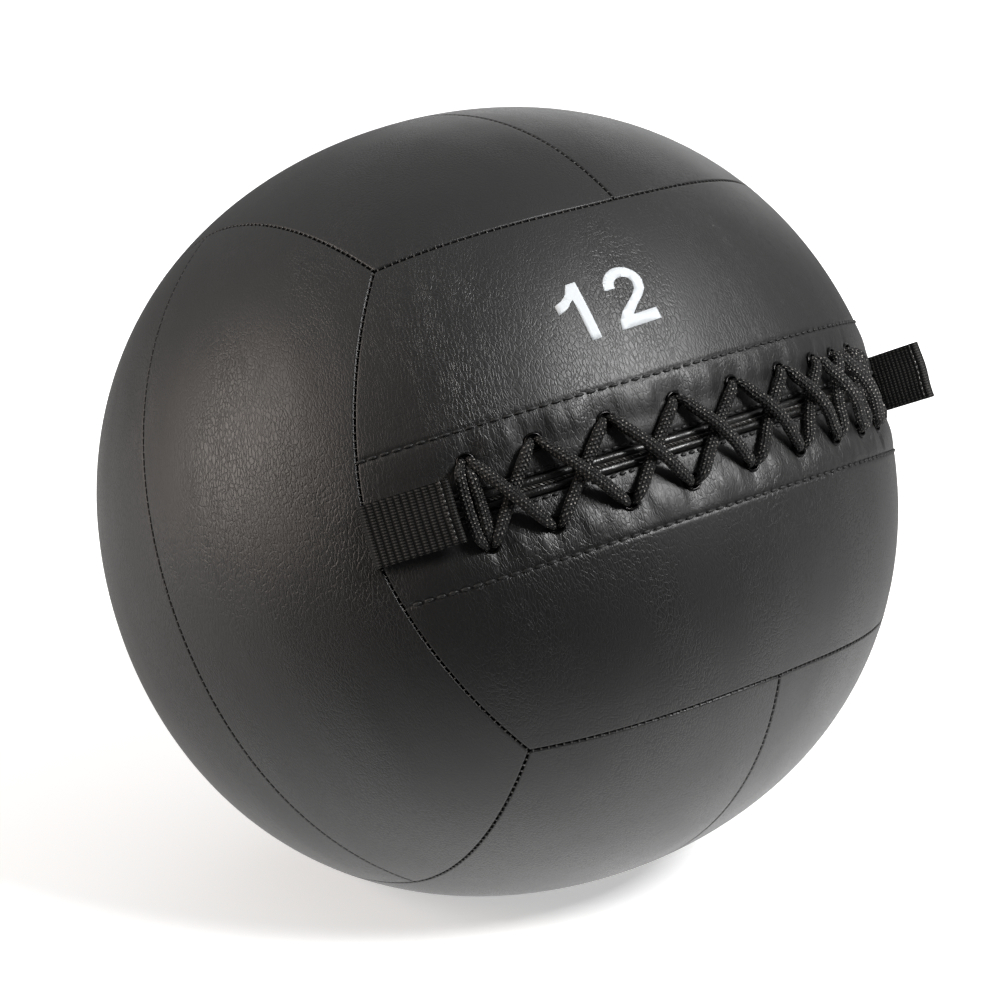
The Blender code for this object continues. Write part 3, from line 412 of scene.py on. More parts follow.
class Workshop:
    """Makes meshes in the ball's frame and lays the finished pieces on the floor."""

    def __init__(self, form: BallForm) -> None:
        """Keep the form and an empty list of pieces."""
        self.form = form
        self.made: list[bpy.types.Object] = []

    def grid(
        self, name: str, points: np.ndarray, uv: tuple[np.ndarray, np.ndarray] | None = None
    ) -> bpy.types.Mesh:
        """Make a surface from Blender's grid by moving its vertices to a table of points.

        Args:
            name: Name of the mesh.
            points: Rows by columns by three, in the ball's frame.
            uv: The two texture coordinates of each point, in metres or turns.

        Returns:
            The mesh, laid down with the ball.
        """
        rows, columns = points.shape[:2]
        bm = bmesh.new()
        bmesh.ops.create_grid(bm, x_segments=columns - 1, y_segments=rows - 1, size=0.5)
        mesh = mesh_of(bm, name)
        place = np.empty(len(mesh.vertices) * 3, np.float32)
        mesh.vertices.foreach_get("co", place)
        place = place.reshape(-1, 3) + 0.5
        column = np.rint(place[:, 0] * (columns - 1)).astype(int)
        row = np.rint(place[:, 1] * (rows - 1)).astype(int)
        mesh.vertices.foreach_set("co", self.form.lay_down(points[row, column]).astype(np.float32).ravel())
        if uv is not None:
            corners = np.empty(len(mesh.loops), np.int32)
            mesh.loops.foreach_get("vertex_index", corners)
            layer = mesh.uv_layers.new(name="surface")
            pairs = np.stack([table[row, column][corners] for table in uv], axis=-1)
            layer.data.foreach_set("uv", pairs.astype(np.float32).ravel())
        mesh.update()
        return mesh

    def seal(self, mesh: bpy.types.Mesh, merge: float = MERGE, sides: int = 0) -> bpy.types.Mesh:
        """Merge a surface's seams and poles, close its ends and turn its faces outwards.

        Args:
            mesh: The surface.
            merge: Distance under which two vertices are one.
            sides: Most sides that an end may have, or zero for any number.

        Returns:
            The same mesh, closed.
        """
        bm = bmesh.new()
        bm.from_mesh(mesh)
        bmesh.ops.remove_doubles(bm, verts=bm.verts, dist=merge)
        bmesh.ops.holes_fill(bm, edges=[edge for edge in bm.edges if edge.is_boundary], sides=sides)
        bmesh.ops.recalc_face_normals(bm, faces=bm.faces)
        bm.to_mesh(mesh)
        bm.free()
        return mesh

    def gather(self, parts: Sequence[bpy.types.Mesh]) -> bmesh.types.BMesh:
        """Take several meshes up into one bmesh and remove them."""
        bm = bmesh.new()
        for part in parts:
            bm.from_mesh(part)
            bpy.data.meshes.remove(part)
        return bm

    def face_outwards(self, mesh: bpy.types.Mesh) -> None:
        """Turn an open surface so that it faces away from the ball's centre."""
        centre = Vector((0, 0, self.form.centre_height()))
        facing = sum(face.normal.dot(face.center - centre) * face.area for face in mesh.polygons)
        if facing < 0:
            mesh.flip_normals()

    def tube(
        self,
        name: str,
        path: np.ndarray,
        radii: np.ndarray,
        sides: int,
        swell: Callable[[np.ndarray, np.ndarray], np.ndarray] | None = None,
    ) -> bpy.types.Mesh:
        """Sweep a ring along a path.

        Args:
            name: Name of the mesh.
            path: Points of the centre line in the ball's frame.
            radii: Radius at each point.
            sides: Number of sides of the ring.
            swell: Factor on the radius, from turns round the ring and metres along the path.

        Returns:
            Closed mesh with a UV map of turns round it and metres along it.
        """
        tangents = unit(np.gradient(path, axis=0))
        side = np.cross(tangents[0], unit(path[0]))
        sideways = np.empty_like(path)
        for index, tangent in enumerate(tangents):
            side = side - tangent * (side @ tangent)
            side /= np.linalg.norm(side)
            sideways[index] = side
        upwards = np.cross(tangents, sideways)
        turns = np.linspace(0, 1, sides + 1)
        around, run = np.meshgrid(turns, run_along(path))
        reach = radii[:, None] * (swell(around, run) if swell else 1.0)
        cosines, sines = (wave(tau * turns)[None, :, None] for wave in (np.cos, np.sin))
        ring = cosines * sideways[:, None] + sines * upwards[:, None]
        mesh = self.grid(name, path[:, None] + ring * reach[..., None], uv=(around, run))
        return self.seal(mesh, sides=sides)

    def scatter(self, name: str, places: Sequence[Matrix], rounds: int, rings: int) -> bpy.types.Mesh:
        """Repeat one rounded stitch, a stretched sphere, at many places of the ball's frame.

        Args:
            name: Name of the mesh.
            places: Place and shape of each stitch.
            rounds: Sides of a stitch round its length.
            rings: Sides of a stitch along its length.

        Returns:
            One mesh of all the stitches.
        """
        bm = bmesh.new()
        bmesh.ops.create_uvsphere(bm, u_segments=rounds, v_segments=rings, radius=1)
        pattern = mesh_of(bm, "stitch")
        stitches = []
        for place in places:
            stitches.append(pattern.copy())
            stitches[-1].transform(self.form.lay() @ place)
        bpy.data.meshes.remove(pattern)
        return mesh_of(self.gather(stitches), name)

    def turned(
        self, name: str, profile: Sequence[tuple[float, float]], steps: int, place: Matrix
    ) -> bpy.types.Mesh:
        """Spin a closed profile of (radius, height) about Z, then place it in the ball's frame.

        Args:
            name: Name of the mesh.
            profile: Corners of the profile in order.
            steps: Steps in the full turn.
            place: Where the middle stands in the ball's frame.

        Returns:
            Closed mesh, laid down with the ball.
        """
        bm = bmesh.new()
        ring = [bm.verts.new((radius, 0, height)) for radius, height in profile]
        edges = [bm.edges.new((vertex, ring[(index + 1) % len(ring)])) for index, vertex in enumerate(ring)]
        whole = {"cent": (0, 0, 0), "axis": (0, 0, 1), "angle": tau, "steps": steps, "use_merge": True}
        bmesh.ops.spin(bm, geom=[*ring, *edges], **whole)
        bmesh.ops.transform(bm, matrix=self.form.lay() @ place, verts=bm.verts)
        return self.seal(mesh_of(bm, name))

    def finish(
        self,
        name: str,
        mesh: bpy.types.Mesh,
        material: bpy.types.Material,
        slot: str,
        replaces: Sequence[str] = (),
        body: str | None = "ball",
        sharp: float = radians(50),
    ) -> bpy.types.Object:
        """Put a mesh into the scene as one piece of the object.

        Args:
            name: Name of the piece.
            mesh: Its mesh, already in place.
            material: Its finish.
            slot: The record's slot for that finish; not used.
            replaces: Solids that it stands for.
            body: Body that carries it, or none to leave it on no body.
            sharp: Angle past which an edge is sharp.

        Returns:
            The new object.
        """
        mesh.name = name
        mesh.shade_smooth()
        mesh.set_sharp_from_angle(angle=sharp)
        mesh.materials.clear()
        mesh.materials.append(material)
        piece = put(name, mesh)
        if replaces:
            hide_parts(*replaces)
        if body is not None:
            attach(piece, body)
        self.made.append(piece)
        LOG.info("%s: %d faces", name, len(mesh.polygons))
        return piece


# Finishes


@dataclass(frozen=True)
class GrainedVinyl:
    """Embossed PVC leathercloth: a pressed leather grain with a soft, even sheen."""

    name: str
    # the creases take the darker colour as painted shade, and the raised cells the lighter one
    colour: str = "#0c0b0b"
    raised: str = "#131212"
    roughness: float = 0.4
    grain: float = 1.35 * MM
    pebble: float = 0.6 * MM
    pebble_share: float = -0.35
    crease: float = 7 * MM
    crease_width: float = 0.17
    wander: float = 0.55
    unevenness: float = 34 * MM
    patches: tuple[float, float] = (0.38, 0.66)
    faintest: float = 0.35
    swell: float = 1.1 * MM
    stretch: float = 2.4
    depth: float = 0.1 * MM
    strength: float = 0.9

    def make(self, form: BallForm) -> bpy.types.Material:
        """Build the material with its grain in line with the ball.

        Args:
            form: The ball, whose turn the grain follows.

        Returns:
            The finish.
        """
        material, tree, shader = new_material(self.name)
        laid = {"Location": (0, 0, form.centre_height()), "Rotation": form.pose().to_euler()}
        laid |= {"Vector": add_node(tree, "TexCoord", output="Object"), "Scale": (1, 1, self.stretch)}
        place = add_node(tree, "Mapping", laid, vector_type="TEXTURE")
        # the grain wanders, as pressed leather does
        wander = {"Vector": place, "Scale": 1 / self.crease, "Detail": 3.0}
        wander = add_node(tree, "TexNoise", wander, "Color")
        reach = (self.wander * self.crease,) * 3
        shift = add_node(tree, "VectorMath", {0: wander, 1: reach, 2: place}, operation="MULTIPLY_ADD")
        cells = {"Vector": shift, "Scale": 1 / self.grain}
        cells = add_node(tree, "TexVoronoi", cells, "Distance", feature="DISTANCE_TO_EDGE")
        cells = {"Value": cells, "From Max": self.crease_width}
        valleys = add_node(tree, "MapRange", cells, interpolation_type="SMOOTHSTEP")
        pebbles = {"Vector": shift, "Scale": 1 / self.pebble}
        pebbles = add_node(tree, "TexVoronoi", pebbles, "Distance", feature="SMOOTH_F1")
        # creases only show in patches
        patches = {"Vector": place, "Scale": 1 / (1.1 * self.unevenness), "Detail": 2.0}
        patches = add_node(tree, "TexNoise", patches, "Fac")
        patches = {"Value": patches, "From Min": self.patches[0], "From Max": self.patches[1]}
        strength = add_node(tree, "MapRange", patches | {"To Min": self.faintest, "To Max": 1.0})
        pressed = add_node(tree, "Math", {0: valleys, 1: strength}, operation="MULTIPLY")
        relief = {0: pebbles, 1: self.pebble_share, 2: pressed}
        relief = add_node(tree, "Math", relief, operation="MULTIPLY_ADD")
        swells = {"Vector": place, "Scale": 1 / self.unevenness, "Detail": 1.0}
        swells = add_node(tree, "TexNoise", swells, "Fac")
        broad = add_node(tree, "Bump", {"Height": swells, "Distance": self.swell, "Strength": 1.0})
        fine = {"Height": relief, "Distance": self.depth, "Strength": self.strength, "Normal": broad}
        # painted shade: the creases are coloured darker than the raised cells between them
        colours = {0: pressed, 6: linear(self.colour), 7: linear(self.raised)}
        rough = {"Value": relief, "To Min": self.roughness + 0.1, "To Max": self.roughness}
        look = {
            "Base Color": add_node(tree, "Mix", colours, 2, data_type="RGBA"),
            "Normal": add_node(tree, "Bump", fine),
            "Roughness": add_node(tree, "MapRange", rough),
            "IOR": 1.52,
        }
        fill_inputs(tree, shader, look)
        return material


@dataclass(frozen=True)
class BraidedPolyester:
    """Braided polyester cord: plaits lie in slanting rows, and a painted highlight lightens the crown of each
    one.
    """

    name: str
    colour: str = "#060606"
    painted_highlight: str = "#8f8b86"
    columns: int = 10
    plait: float = 1.85 * MM
    slant: float = 0.75
    lean: float = 0.75
    slimness: float = 1.5
    depth: float = 0.35 * MM
    patch: float = 1.1 * MM
    crown: tuple[float, float] = (0.36, 0.6)

    def make(self) -> bpy.types.Material:
        """Build the plaits from the cord's own coordinates: turns round it and metres along it.

        Returns:
            The finish.
        """
        material, tree, shader = new_material(self.name)
        uv = add_node(tree, "SeparateXYZ", {0: add_node(tree, "UVMap", uv_map="surface")}).node.outputs
        around = add_node(tree, "Math", {0: uv[0], 1: float(self.columns)}, operation="MULTIPLY")
        column = add_node(tree, "Math", {0: around}, operation="FLOOR")
        within = add_node(tree, "Math", {0: around}, operation="FRACT")
        centred = add_node(tree, "Math", {0: within, 1: 0.5}, operation="SUBTRACT")
        # every other column leans the other way and starts half a plait on
        odd = add_node(tree, "Math", {0: column, 1: 2.0}, operation="MODULO")
        lean = add_node(tree, "Math", {0: odd, 1: -2.0, 2: 1.0}, operation="MULTIPLY_ADD")
        slanted = add_node(tree, "Math", {0: centred, 1: lean}, operation="MULTIPLY")
        shift = add_node(tree, "Math", {0: odd, 1: 0.5}, operation="MULTIPLY")
        run = add_node(tree, "Math", {0: uv[1], 1: 1 / self.plait, 2: shift}, operation="MULTIPLY_ADD")
        run = add_node(tree, "Math", {0: slanted, 1: self.slant, 2: run}, operation="MULTIPLY_ADD")
        step = add_node(tree, "Math", {0: run}, operation="FRACT")
        step = add_node(tree, "Math", {0: step, 1: 0.5}, operation="SUBTRACT")
        tilt = add_node(tree, "Math", {0: step, 1: lean}, operation="MULTIPLY")
        tilted = add_node(tree, "Math", {0: tilt, 1: -self.lean, 2: centred}, operation="MULTIPLY_ADD")
        humps = []
        for place, turn in ((tilted, self.slimness * pi), (step, pi)):
            angle = add_node(tree, "Math", {0: place, 1: turn}, operation="MULTIPLY")
            humps.append(add_node(tree, "Math", {0: angle}, operation="COSINE"))
        height = add_node(tree, "Math", {0: humps[0], 1: humps[1]}, operation="MULTIPLY")
        # a painted highlight lightens only the crown of a plait, and not every one alike
        uneven = {"Vector": add_node(tree, "TexCoord", output="Object"), "Scale": 1 / self.patch}
        uneven = add_node(tree, "TexNoise", uneven, "Fac")
        bright = add_node(tree, "Math", {0: height, 1: uneven}, operation="MULTIPLY")
        crown = {"Value": bright, "From Min": self.crown[0], "From Max": self.crown[1]}
        colours = {0: add_node(tree, "MapRange", crown), 6: linear(self.colour), 7: linear(self.painted_highlight)}
        look = {
            "Base Color": add_node(tree, "Mix", colours, 2, data_type="RGBA"),
            "Normal": add_node(tree, "Bump", {"Height": height, "Distance": self.depth, "Strength": 1.0}),
            "Roughness": 0.6,
            "Specular IOR Level": 0.3,
        }
        fill_inputs(tree, shader, look)
        return material


@dataclass(frozen=True)
class RibbedNylon:
    """Woven nylon webbing: raised ribs across it, each a row of small warp floats whose crowns carry a
    painted highlight.
    """

    name: str
    colour: str = "#040404"
    painted_highlight: str = "#262524"
    rib: float = 2.9 * MM
    float_pitch: float = 1.15 * MM
    rib_share: float = 0.6
    depth: float = 0.3 * MM
    strength: float = 0.9
    crown: tuple[float, float] = (0.18, 0.62)

    def make(self) -> bpy.types.Material:
        """Build the ribs from the strip's own coordinates: metres along and metres across.

        Returns:
            The finish.
        """
        material, tree, shader = new_material(self.name)
        uv = add_node(tree, "SeparateXYZ", {0: add_node(tree, "UVMap", uv_map="surface")}).node.outputs
        waves = []
        for place, pitch in ((uv[0], self.rib), (uv[1], self.float_pitch)):
            angle = add_node(tree, "Math", {0: place, 1: tau / pitch}, operation="MULTIPLY")
            wave = add_node(tree, "Math", {0: angle}, operation="COSINE")
            waves.append(add_node(tree, "Math", {0: wave, 1: 0.5, 2: 0.5}, operation="MULTIPLY_ADD"))
        dots = add_node(tree, "Math", {0: waves[0], 1: waves[1]}, operation="MULTIPLY")
        height = add_node(tree, "Math", {0: waves[0], 1: self.rib_share, 2: dots}, operation="MULTIPLY_ADD")
        # painted highlight: the crowns of the floats are coloured lighter than the rest
        crown = {"Value": dots, "From Min": self.crown[0], "From Max": self.crown[1]}
        colours = {0: add_node(tree, "MapRange", crown), 6: linear(self.colour), 7: linear(self.painted_highlight)}
        look = {
            "Base Color": add_node(tree, "Mix", colours, 2, data_type="RGBA"),
            "Normal": add_node(
                tree, "Bump", {"Height": height, "Distance": self.depth, "Strength": self.strength}
            ),
            "Roughness": 0.5,
            "Specular IOR Level": 0.18,
        }
        fill_inputs(tree, shader, look)
        return material


@dataclass(frozen=True)
class PlainFinish:
    """A finish with one fine relief: enamel, thread, ink, cloth, fibre, twine or grit.

    Attributes:
        name: Common name of the material.
        colour: Colour in the hollows.
        raised: Colour of the high places.
        roughness: Roughness of its surface.
        metallic: One for bare metal.
        texture: Size of its relief.
        depth: Depth of its relief.
        cellular: Whether the relief is of cells, as grit is, or of soft noise.
    """

    name: str
    colour: str
    raised: str
    roughness: float
    texture: float
    depth: float
    metallic: float = 0.0
    cellular: bool = False

    def make(self) -> bpy.types.Material:
        """Build the material.

        Returns:
            The finish.
        """
        material, tree, shader = new_material(self.name)
        kind, height = ("TexVoronoi", "Distance") if self.cellular else ("TexNoise", "Fac")
        place = {"Vector": add_node(tree, "TexCoord", output="Object"), "Scale": 1 / self.texture}
        relief = add_node(tree, kind, place, height)
        colours = {0: relief, 6: linear(self.colour), 7: linear(self.raised)}
        look = {
            "Base Color": add_node(tree, "Mix", colours, 2, data_type="RGBA"),
            "Normal": add_node(tree, "Bump", {"Height": relief, "Distance": self.depth, "Strength": 1.0}),
            "Roughness": self.roughness,
            "Metallic": self.metallic,
        }
        fill_inputs(tree, shader, look)
        return material


# pressed and lacquered steel, nearly black with a bright edge where the light strikes
EYELET_STEEL = PlainFinish("black_nickel_steel", "#1c1b1b", "#2b2a2a", 0.22, 2 * MM, 0.02 * MM, metallic=1.0)
# bonded thread is tightly laid and dull, and hardly stands out from the vinyl
THREAD = PlainFinish("bonded_nylon_thread", "#040404", "#0b0b0b", 0.6, 0.5 * MM, 0.1 * MM)
# loosely twisted thread catches the light on its turns and shows grey between the lips
SEAM_THREAD = PlainFinish("twisted_nylon_thread", "#171615", "#3a3836", 0.4, 0.5 * MM, 0.1 * MM)
# screen ink lies on the vinyl as a thin matt film
INK = PlainFinish("white_screen_ink", "#c3c7ca", "#cbcfd2", 0.6, 1.2 * MM, 0.03 * MM)
# close-woven dark lining is flat and without shine
LINER_CLOTH = PlainFinish("woven_polyester_lining", "#3a3a3b", "#4a4a4b", 0.85, 0.9 * MM, 0.12 * MM)
# teased fibre is white and soft, with no edge to it
WADDING = PlainFinish("polyester_fibre_wadding", "#d8d5cd", "#efece6", 0.95, 3 * MM, 1.4 * MM)
# unbleached cotton is coarse and dull
SACKING = PlainFinish("cotton_sackcloth", "#a9a392", "#c9c3b2", 0.9, 0.8 * MM, 0.2 * MM)
# bare grains of iron glint one by one in a dark heap
GRIT = PlainFinish("iron_grit", "#3a3835", "#77736d", 0.6, 1.3 * MM, 0.8 * MM, metallic=0.6, cellular=True)
# laid twine is dull and paler than the sack it ties
TWINE = PlainFinish("cotton_twine", "#b5aa8e", "#d2c8ad", 0.85, 0.7 * MM, 0.25 * MM)


# Cover


def seam_gap(directions: np.ndarray, line: np.ndarray) -> np.ndarray:
    """Measure how far directions are from a seam.

    Args:
        directions: Unit directions of any shape.
        line: Unit directions along the seam.

    Returns:
        Chord to the seam, on a ball of radius one.
    """
    flat = directions.reshape(-1, 3)
    nearest = np.argmax(flat @ line.T, axis=1)
    gap = np.full(len(flat), np.inf)
    for offset in (-1, 0):
        start = np.clip(nearest + offset, 0, len(line) - 2)
        edge = line[start + 1] - line[start]
        share = np.clip(np.sum((flat - line[start]) * edge, axis=1) / np.sum(edge**2, axis=1), 0, 1)
        gap = np.minimum(gap, np.linalg.norm(flat - line[start] - edge * share[:, None], axis=1))
    return gap.reshape(directions.shape[:-1])


@dataclass
class Lacework:
    """Where the eyelets, the slit and the sewn rows lie on the front."""

    form: BallForm
    start: float = -123.4 * MM
    length: float = 223.4 * MM
    offset: float = 16.5 * MM
    upper: tuple[float, ...] = (0.001, 0.124, 0.260, 0.403, 0.541, 0.673, 0.786, 0.872, 0.957)
    lower: tuple[float, ...] = (0.0, 0.120, 0.260, 0.390, 0.531, 0.663, 0.786, 0.898, 1.0)
    lip_radius: float = 1.9 * MM
    lip_rise: float = 0.3 * MM
    lip_gap: float = 0.4 * MM
    topstitch: tuple[float, float] = (28.5 * MM, -29.5 * MM)
    channel_depth: float = 0.6 * MM
    channel_width: float = 1.0 * MM
    stitch_pitch: float = 5.0 * MM
    lip_stitch: float = 1.2 * MM
    lip_channel_depth: float = 0.35 * MM
    lip_channel_width: float = 0.8 * MM
    fold: float = 0.22 * MM
    long_folds: float = 3.0
    long_sway: tuple[float, float] = (0.9, 5 * MM)
    short_folds: float = 6.4
    short_share: float = 0.45
    short_slant: float = 7 * MM
    short_turn: float = 1.9
    stitch_pull: float = 0.28
    slope_step: float = 1.5 * MM
    bulge: float = 0.9 * MM
    inner_bulge: tuple[float, float] = (9.5 * MM, 3.5 * MM)
    outer_bulge: tuple[float, float] = (20.5 * MM, 6 * MM)
    sink: float = 0.7 * MM
    sink_width: float = 5.5 * MM
    hole: float = 3.3 * MM
    fade: tuple[float, float] = (4 * MM, 30 * MM)

    def arcs(self, half: int) -> np.ndarray:
        """Arcs of the eyelets above or below the slit."""
        shares = self.upper if half > 0 else self.lower
        return self.start + np.array(shares) * self.length

    def lip_edge(self) -> float:
        """Height of the panel's edge beside a lip."""
        return 2 * self.lip_radius + 0.9 * self.lip_gap

    def relief(self, arc: np.ndarray, height: np.ndarray) -> np.ndarray:
        """How far the vinyl stands proud between the holes, and sinks at them and at the topstitching.

        Args:
            arc: Arcs round the front.
            height: Heights above the mid-line.

        Returns:
            Lift at each place.
        """
        arc, height = np.broadcast_arrays(np.asarray(arc, float), np.asarray(height, float))
        lift = np.zeros_like(arc)
        above = np.abs(height)
        fade = np.interp(self.form.half_front() - np.abs(arc), self.fade, (0, 1))
        inner, outer = (mound(above - level, width) for level, width in (self.inner_bulge, self.outer_bulge))
        for half in (1, -1):
            holes = self.arcs(half)
            between = np.interp(arc, holes, np.arange(len(holes)), left=-0.5, right=len(holes) - 0.5)
            crown = np.sin(pi * between) ** 2
            # three long folds run out of each hole, with shorter ones among them
            sway = self.long_sway[0] * np.sin(above / self.long_sway[1])
            folds = np.cos(self.long_folds * tau * between + sway + half)
            slant = above / self.short_slant + self.short_turn * half
            folds += self.short_share * np.cos(self.short_folds * tau * between + slant)
            raised = self.bulge * (0.5 * crown * inner + (crown - 0.3) * outer) + self.fold * folds * outer
            for hole in holes:
                away = np.hypot(arc - hole, above - self.offset)
                raised = raised - self.sink * mound(away, self.sink_width)
            lift += np.where(height * half > 0, raised, 0)
        lift *= fade
        pull = 1 - self.stitch_pull + self.stitch_pull * np.cos(tau * arc / self.stitch_pitch)
        for line in self.topstitch:
            lift -= self.channel_depth * pull * mound(height - line, self.channel_width)
        for half in (1, -1):
            apart = height * half - self.lip_edge() - self.lip_stitch
            lift -= self.lip_channel_depth * mound(apart, self.lip_channel_width) * fade
        return lift

    def place(self, arc: float, height: float, lift: float = 0.0) -> Matrix:
        """Frame on the vinyl: X along the lacing, Z out of the ball.

        Args:
            arc: Arc round the front.
            height: Height above the mid-line.
            lift: Lift off the vinyl.

        Returns:
            The frame.
        """
        step = self.slope_step

        def point(here: float, level: float) -> Vector:
            """Point of the relief."""
            return Vector(self.form.on_front(here, level, float(self.relief(here, level)) + lift))

        x_axis = (point(arc + step, height) - point(arc - step, height)).normalized()
        z_axis = x_axis.cross(point(arc, height + step) - point(arc, height - step)).normalized()
        y_axis = z_axis.cross(x_axis)
        frame = Matrix((x_axis, y_axis, z_axis)).transposed().to_4x4()
        frame.translation = point(arc, height)
        return frame


@dataclass
class Cover:
    """Twelve vinyl panels, their seams, the topstitching and the printed number.

    The steps, rows, columns, gaps and lifts that stand in tuples without a unit are in millimetres.
    """

    shop: Workshop
    form: BallForm
    net: SeamNet
    work: Lacework
    edge_steps: tuple[float, ...] = (0.12, 0.25, 0.42, 0.65, 0.95, 1.4, 2.0, 2.9, 4.2, 6.2, 9.0)
    slit_steps: tuple[float, ...] = (0.0, 0.2, 0.5, 0.9, 1.5, 2.2)
    front_rows: tuple[tuple[float, float, float], ...] = (
        (3.0, 27.0, 0.9),
        (27.0, 32.0, 0.45),
        (32.5, 89.0, 2.6),
    )
    front_columns: tuple[float, float, float] = (9.0, 325.5, 1.3)
    pitch: float = 5 * MM
    mid_length: float = 334 * MM
    half_width: float = 100 * MM
    slit_blend: float = 20 * MM
    wall: float = 1.6 * MM
    seam_samples: int = 481
    fill: float = 0.9
    seam_stitch_pitch: float = 3.0 * MM
    seam_stitch_depth: float = 0.22 * MM
    seam_stitch: tuple[float, float, float] = (0.95 * MM, 0.34 * MM, 0.3 * MM)
    topstitch_size: tuple[float, float] = (4.0 * MM, 1.5 * MM)
    lip_stitch_size: tuple[float, float] = (2.9 * MM, 1.6 * MM)
    lip_stitch_pitch: float = 4.1 * MM
    row_margin: float = 1.5 * MM
    row_lift: float = 0.1 * MM
    roll_gaps: tuple[float, ...] = (0.12, 0.25, 0.42, 0.65, 0.95, 1.4, 2.4, 4.5, 9.0)
    roll_lifts: tuple[float, ...] = (-1.9, -1.0, -0.5, -0.12, 0.12, 0.28, 0.3, 0.13, 0.0)
    slit_lifts: tuple[float, ...] = (-1.5, -0.85, -0.5, -0.28, -0.13, -0.03, 0.05, 0.0, 0.0)
    number_height: float = 23.7 * MM
    number_stroke: float = 4.7 * MM
    number_base: float = 47 * MM
    number_start: float = -68 * MM
    number_slope: float = 0.05
    number_shift: float = 23 * MM
    number_step: float = 2.5 * MM
    number_lift: float = 0.14 * MM
    number_film: float = 0.12 * MM

    def shares(self, length: float) -> np.ndarray:
        """Shares of a length, close together beside the seams and even between them."""
        steps = np.array(self.edge_steps) * MM
        count = round((length - 2 * steps[-1]) / self.pitch)
        even = np.linspace(steps[-1], length - steps[-1], count + 1)[1:-1]
        return np.concatenate((steps, even, (length - steps)[::-1])) / length

    def front_shares(self) -> np.ndarray:
        """Shares across a front panel: close rows as far as the topstitching, then wider ones."""
        rows = [np.arange(start * MM, stop * MM, step * MM) for start, stop, step in self.front_rows]
        steps = (self.half_width - np.array(self.edge_steps[:-1]) * MM)[::-1]
        return np.concatenate((np.array(self.slit_steps) * MM, *rows, steps)) / self.half_width

    def edge_roll(self, gap: np.ndarray, lifts: tuple[float, ...]) -> np.ndarray:
        """Lift of the vinyl where it turns down at an edge."""
        return np.interp(gap, np.array(self.roll_gaps) * MM, np.array(lifts) * MM)

    def panel(self, face: str, half: int) -> None:
        """Make one panel.

        Args:
            face: Name of its face.
            half: Which of the two panels.
        """
        plan = FACES[face]
        front = face == "front"
        ends = np.linspace(0, 1, self.net.samples)
        middles = np.linspace(0, 1, self.seam_samples)
        edges = [self.net.outer_seam(face, half, middles)]
        edges += [self.net.half_seam(face, end, half, ends) for end in (-1, 1)]
        if front:
            fine = np.arange(*(step * MM for step in self.front_columns))
            steps = np.array(self.edge_steps[:-1]) * MM
            along = np.concatenate((steps, fine, (self.mid_length - steps)[::-1])) / self.mid_length
            directions = self.net.panel(face, half, self.front_shares(), along)
            arc, height = self.form.arc_and_height(directions)
            rise, lip, blend = np.abs(height), self.work.lip_edge(), self.slit_blend
            rise = np.where(rise < blend, lip + (blend - lip) * rise / blend, rise)
            directions = self.form.front_direction(arc, half * rise)
            slit = rise - lip + self.slit_steps[1] * MM
        else:
            across, along = self.shares(self.half_width), self.shares(self.mid_length)
            directions = self.net.panel(face, half, across, along)
            edges.append(self.net.mid_line(face, middles))
            slit = np.full(directions.shape[:-1], np.inf)
        gap = self.form.radius * np.min([seam_gap(directions, edge) for edge in edges], axis=0)
        lift = np.minimum(self.edge_roll(gap, self.roll_lifts), self.edge_roll(slit, self.slit_lifts))
        if front:
            lift = lift + self.work.relief(*self.form.arc_and_height(directions))
        drop = directions @ self.form.down()
        below = drop > self.form.floor_view
        floor_reach = np.where(below, self.form.centre_height() / np.where(below, drop, 1), np.inf)
        reach = np.minimum(self.form.reach(directions) + lift, floor_reach)
        name = f"{face}_{plan.names[0 if half > 0 else 1]}"
        mesh = self.shop.grid(name, directions * reach[..., None])
        if front:
            self.open_holes(mesh, half)
        self.shop.face_outwards(mesh)
        panels = (f"{name}_panel",)
        piece = self.shop.finish(f"{name}_vinyl", mesh, self.vinyl, "cover_vinyl", panels, sharp=radians(80))
        wall(piece, self.wall)

    def open_holes(self, mesh: bpy.types.Mesh, half: int) -> None:
        """Take out the vinyl inside the eyelets.

        Args:
            mesh: The panel, already laid down.
            half: Which front panel it is.
        """
        places = [self.work.place(arc, half * self.work.offset) for arc in self.work.arcs(half)]
        centres = [(self.form.lay() @ place).translation for place in places]
        bm = bmesh.new()
        bm.from_mesh(mesh)
        inside = []
        for face in bm.faces:
            middle = face.calc_center_median()
            if min((middle - centre).length for centre in centres) < self.work.hole:
                inside.append(face)
        bmesh.ops.delete(bm, geom=inside, context="FACES")
        bm.to_mesh(mesh)
        bm.free()

    def seam_stitches(self) -> None:
        """Short stitches that cross the seams at the bottom of their grooves."""
        places = []
        shape = Matrix.Diagonal((*self.seam_stitch, 1))
        for line in self.net.lines():
            count = max(2, round(float(run_along(line)[-1]) * self.form.radius / self.seam_stitch_pitch))
            spots = self.net.spread(line, (np.arange(count) + 0.5) / count)
            ahead = self.net.spread(line, np.clip((np.arange(count) + 0.6) / count, 0, 1))
            for spot, onward, far in zip(spots, ahead, self.form.reach(spots, self.seam_stitch_depth)):
                z_axis = Vector(spot)
                y_axis = (Vector(onward) - z_axis).normalized()
                x_axis = y_axis.cross(z_axis).normalized()
                frame = Matrix((x_axis, y_axis, z_axis)).transposed().to_4x4()
                frame.translation = z_axis * far
                places.append(frame @ shape)
        mesh = self.shop.scatter("seam_stitches", places, 6, 4)
        self.shop.finish("seam_stitches", mesh, SEAM_THREAD.make(), "cover_vinyl")

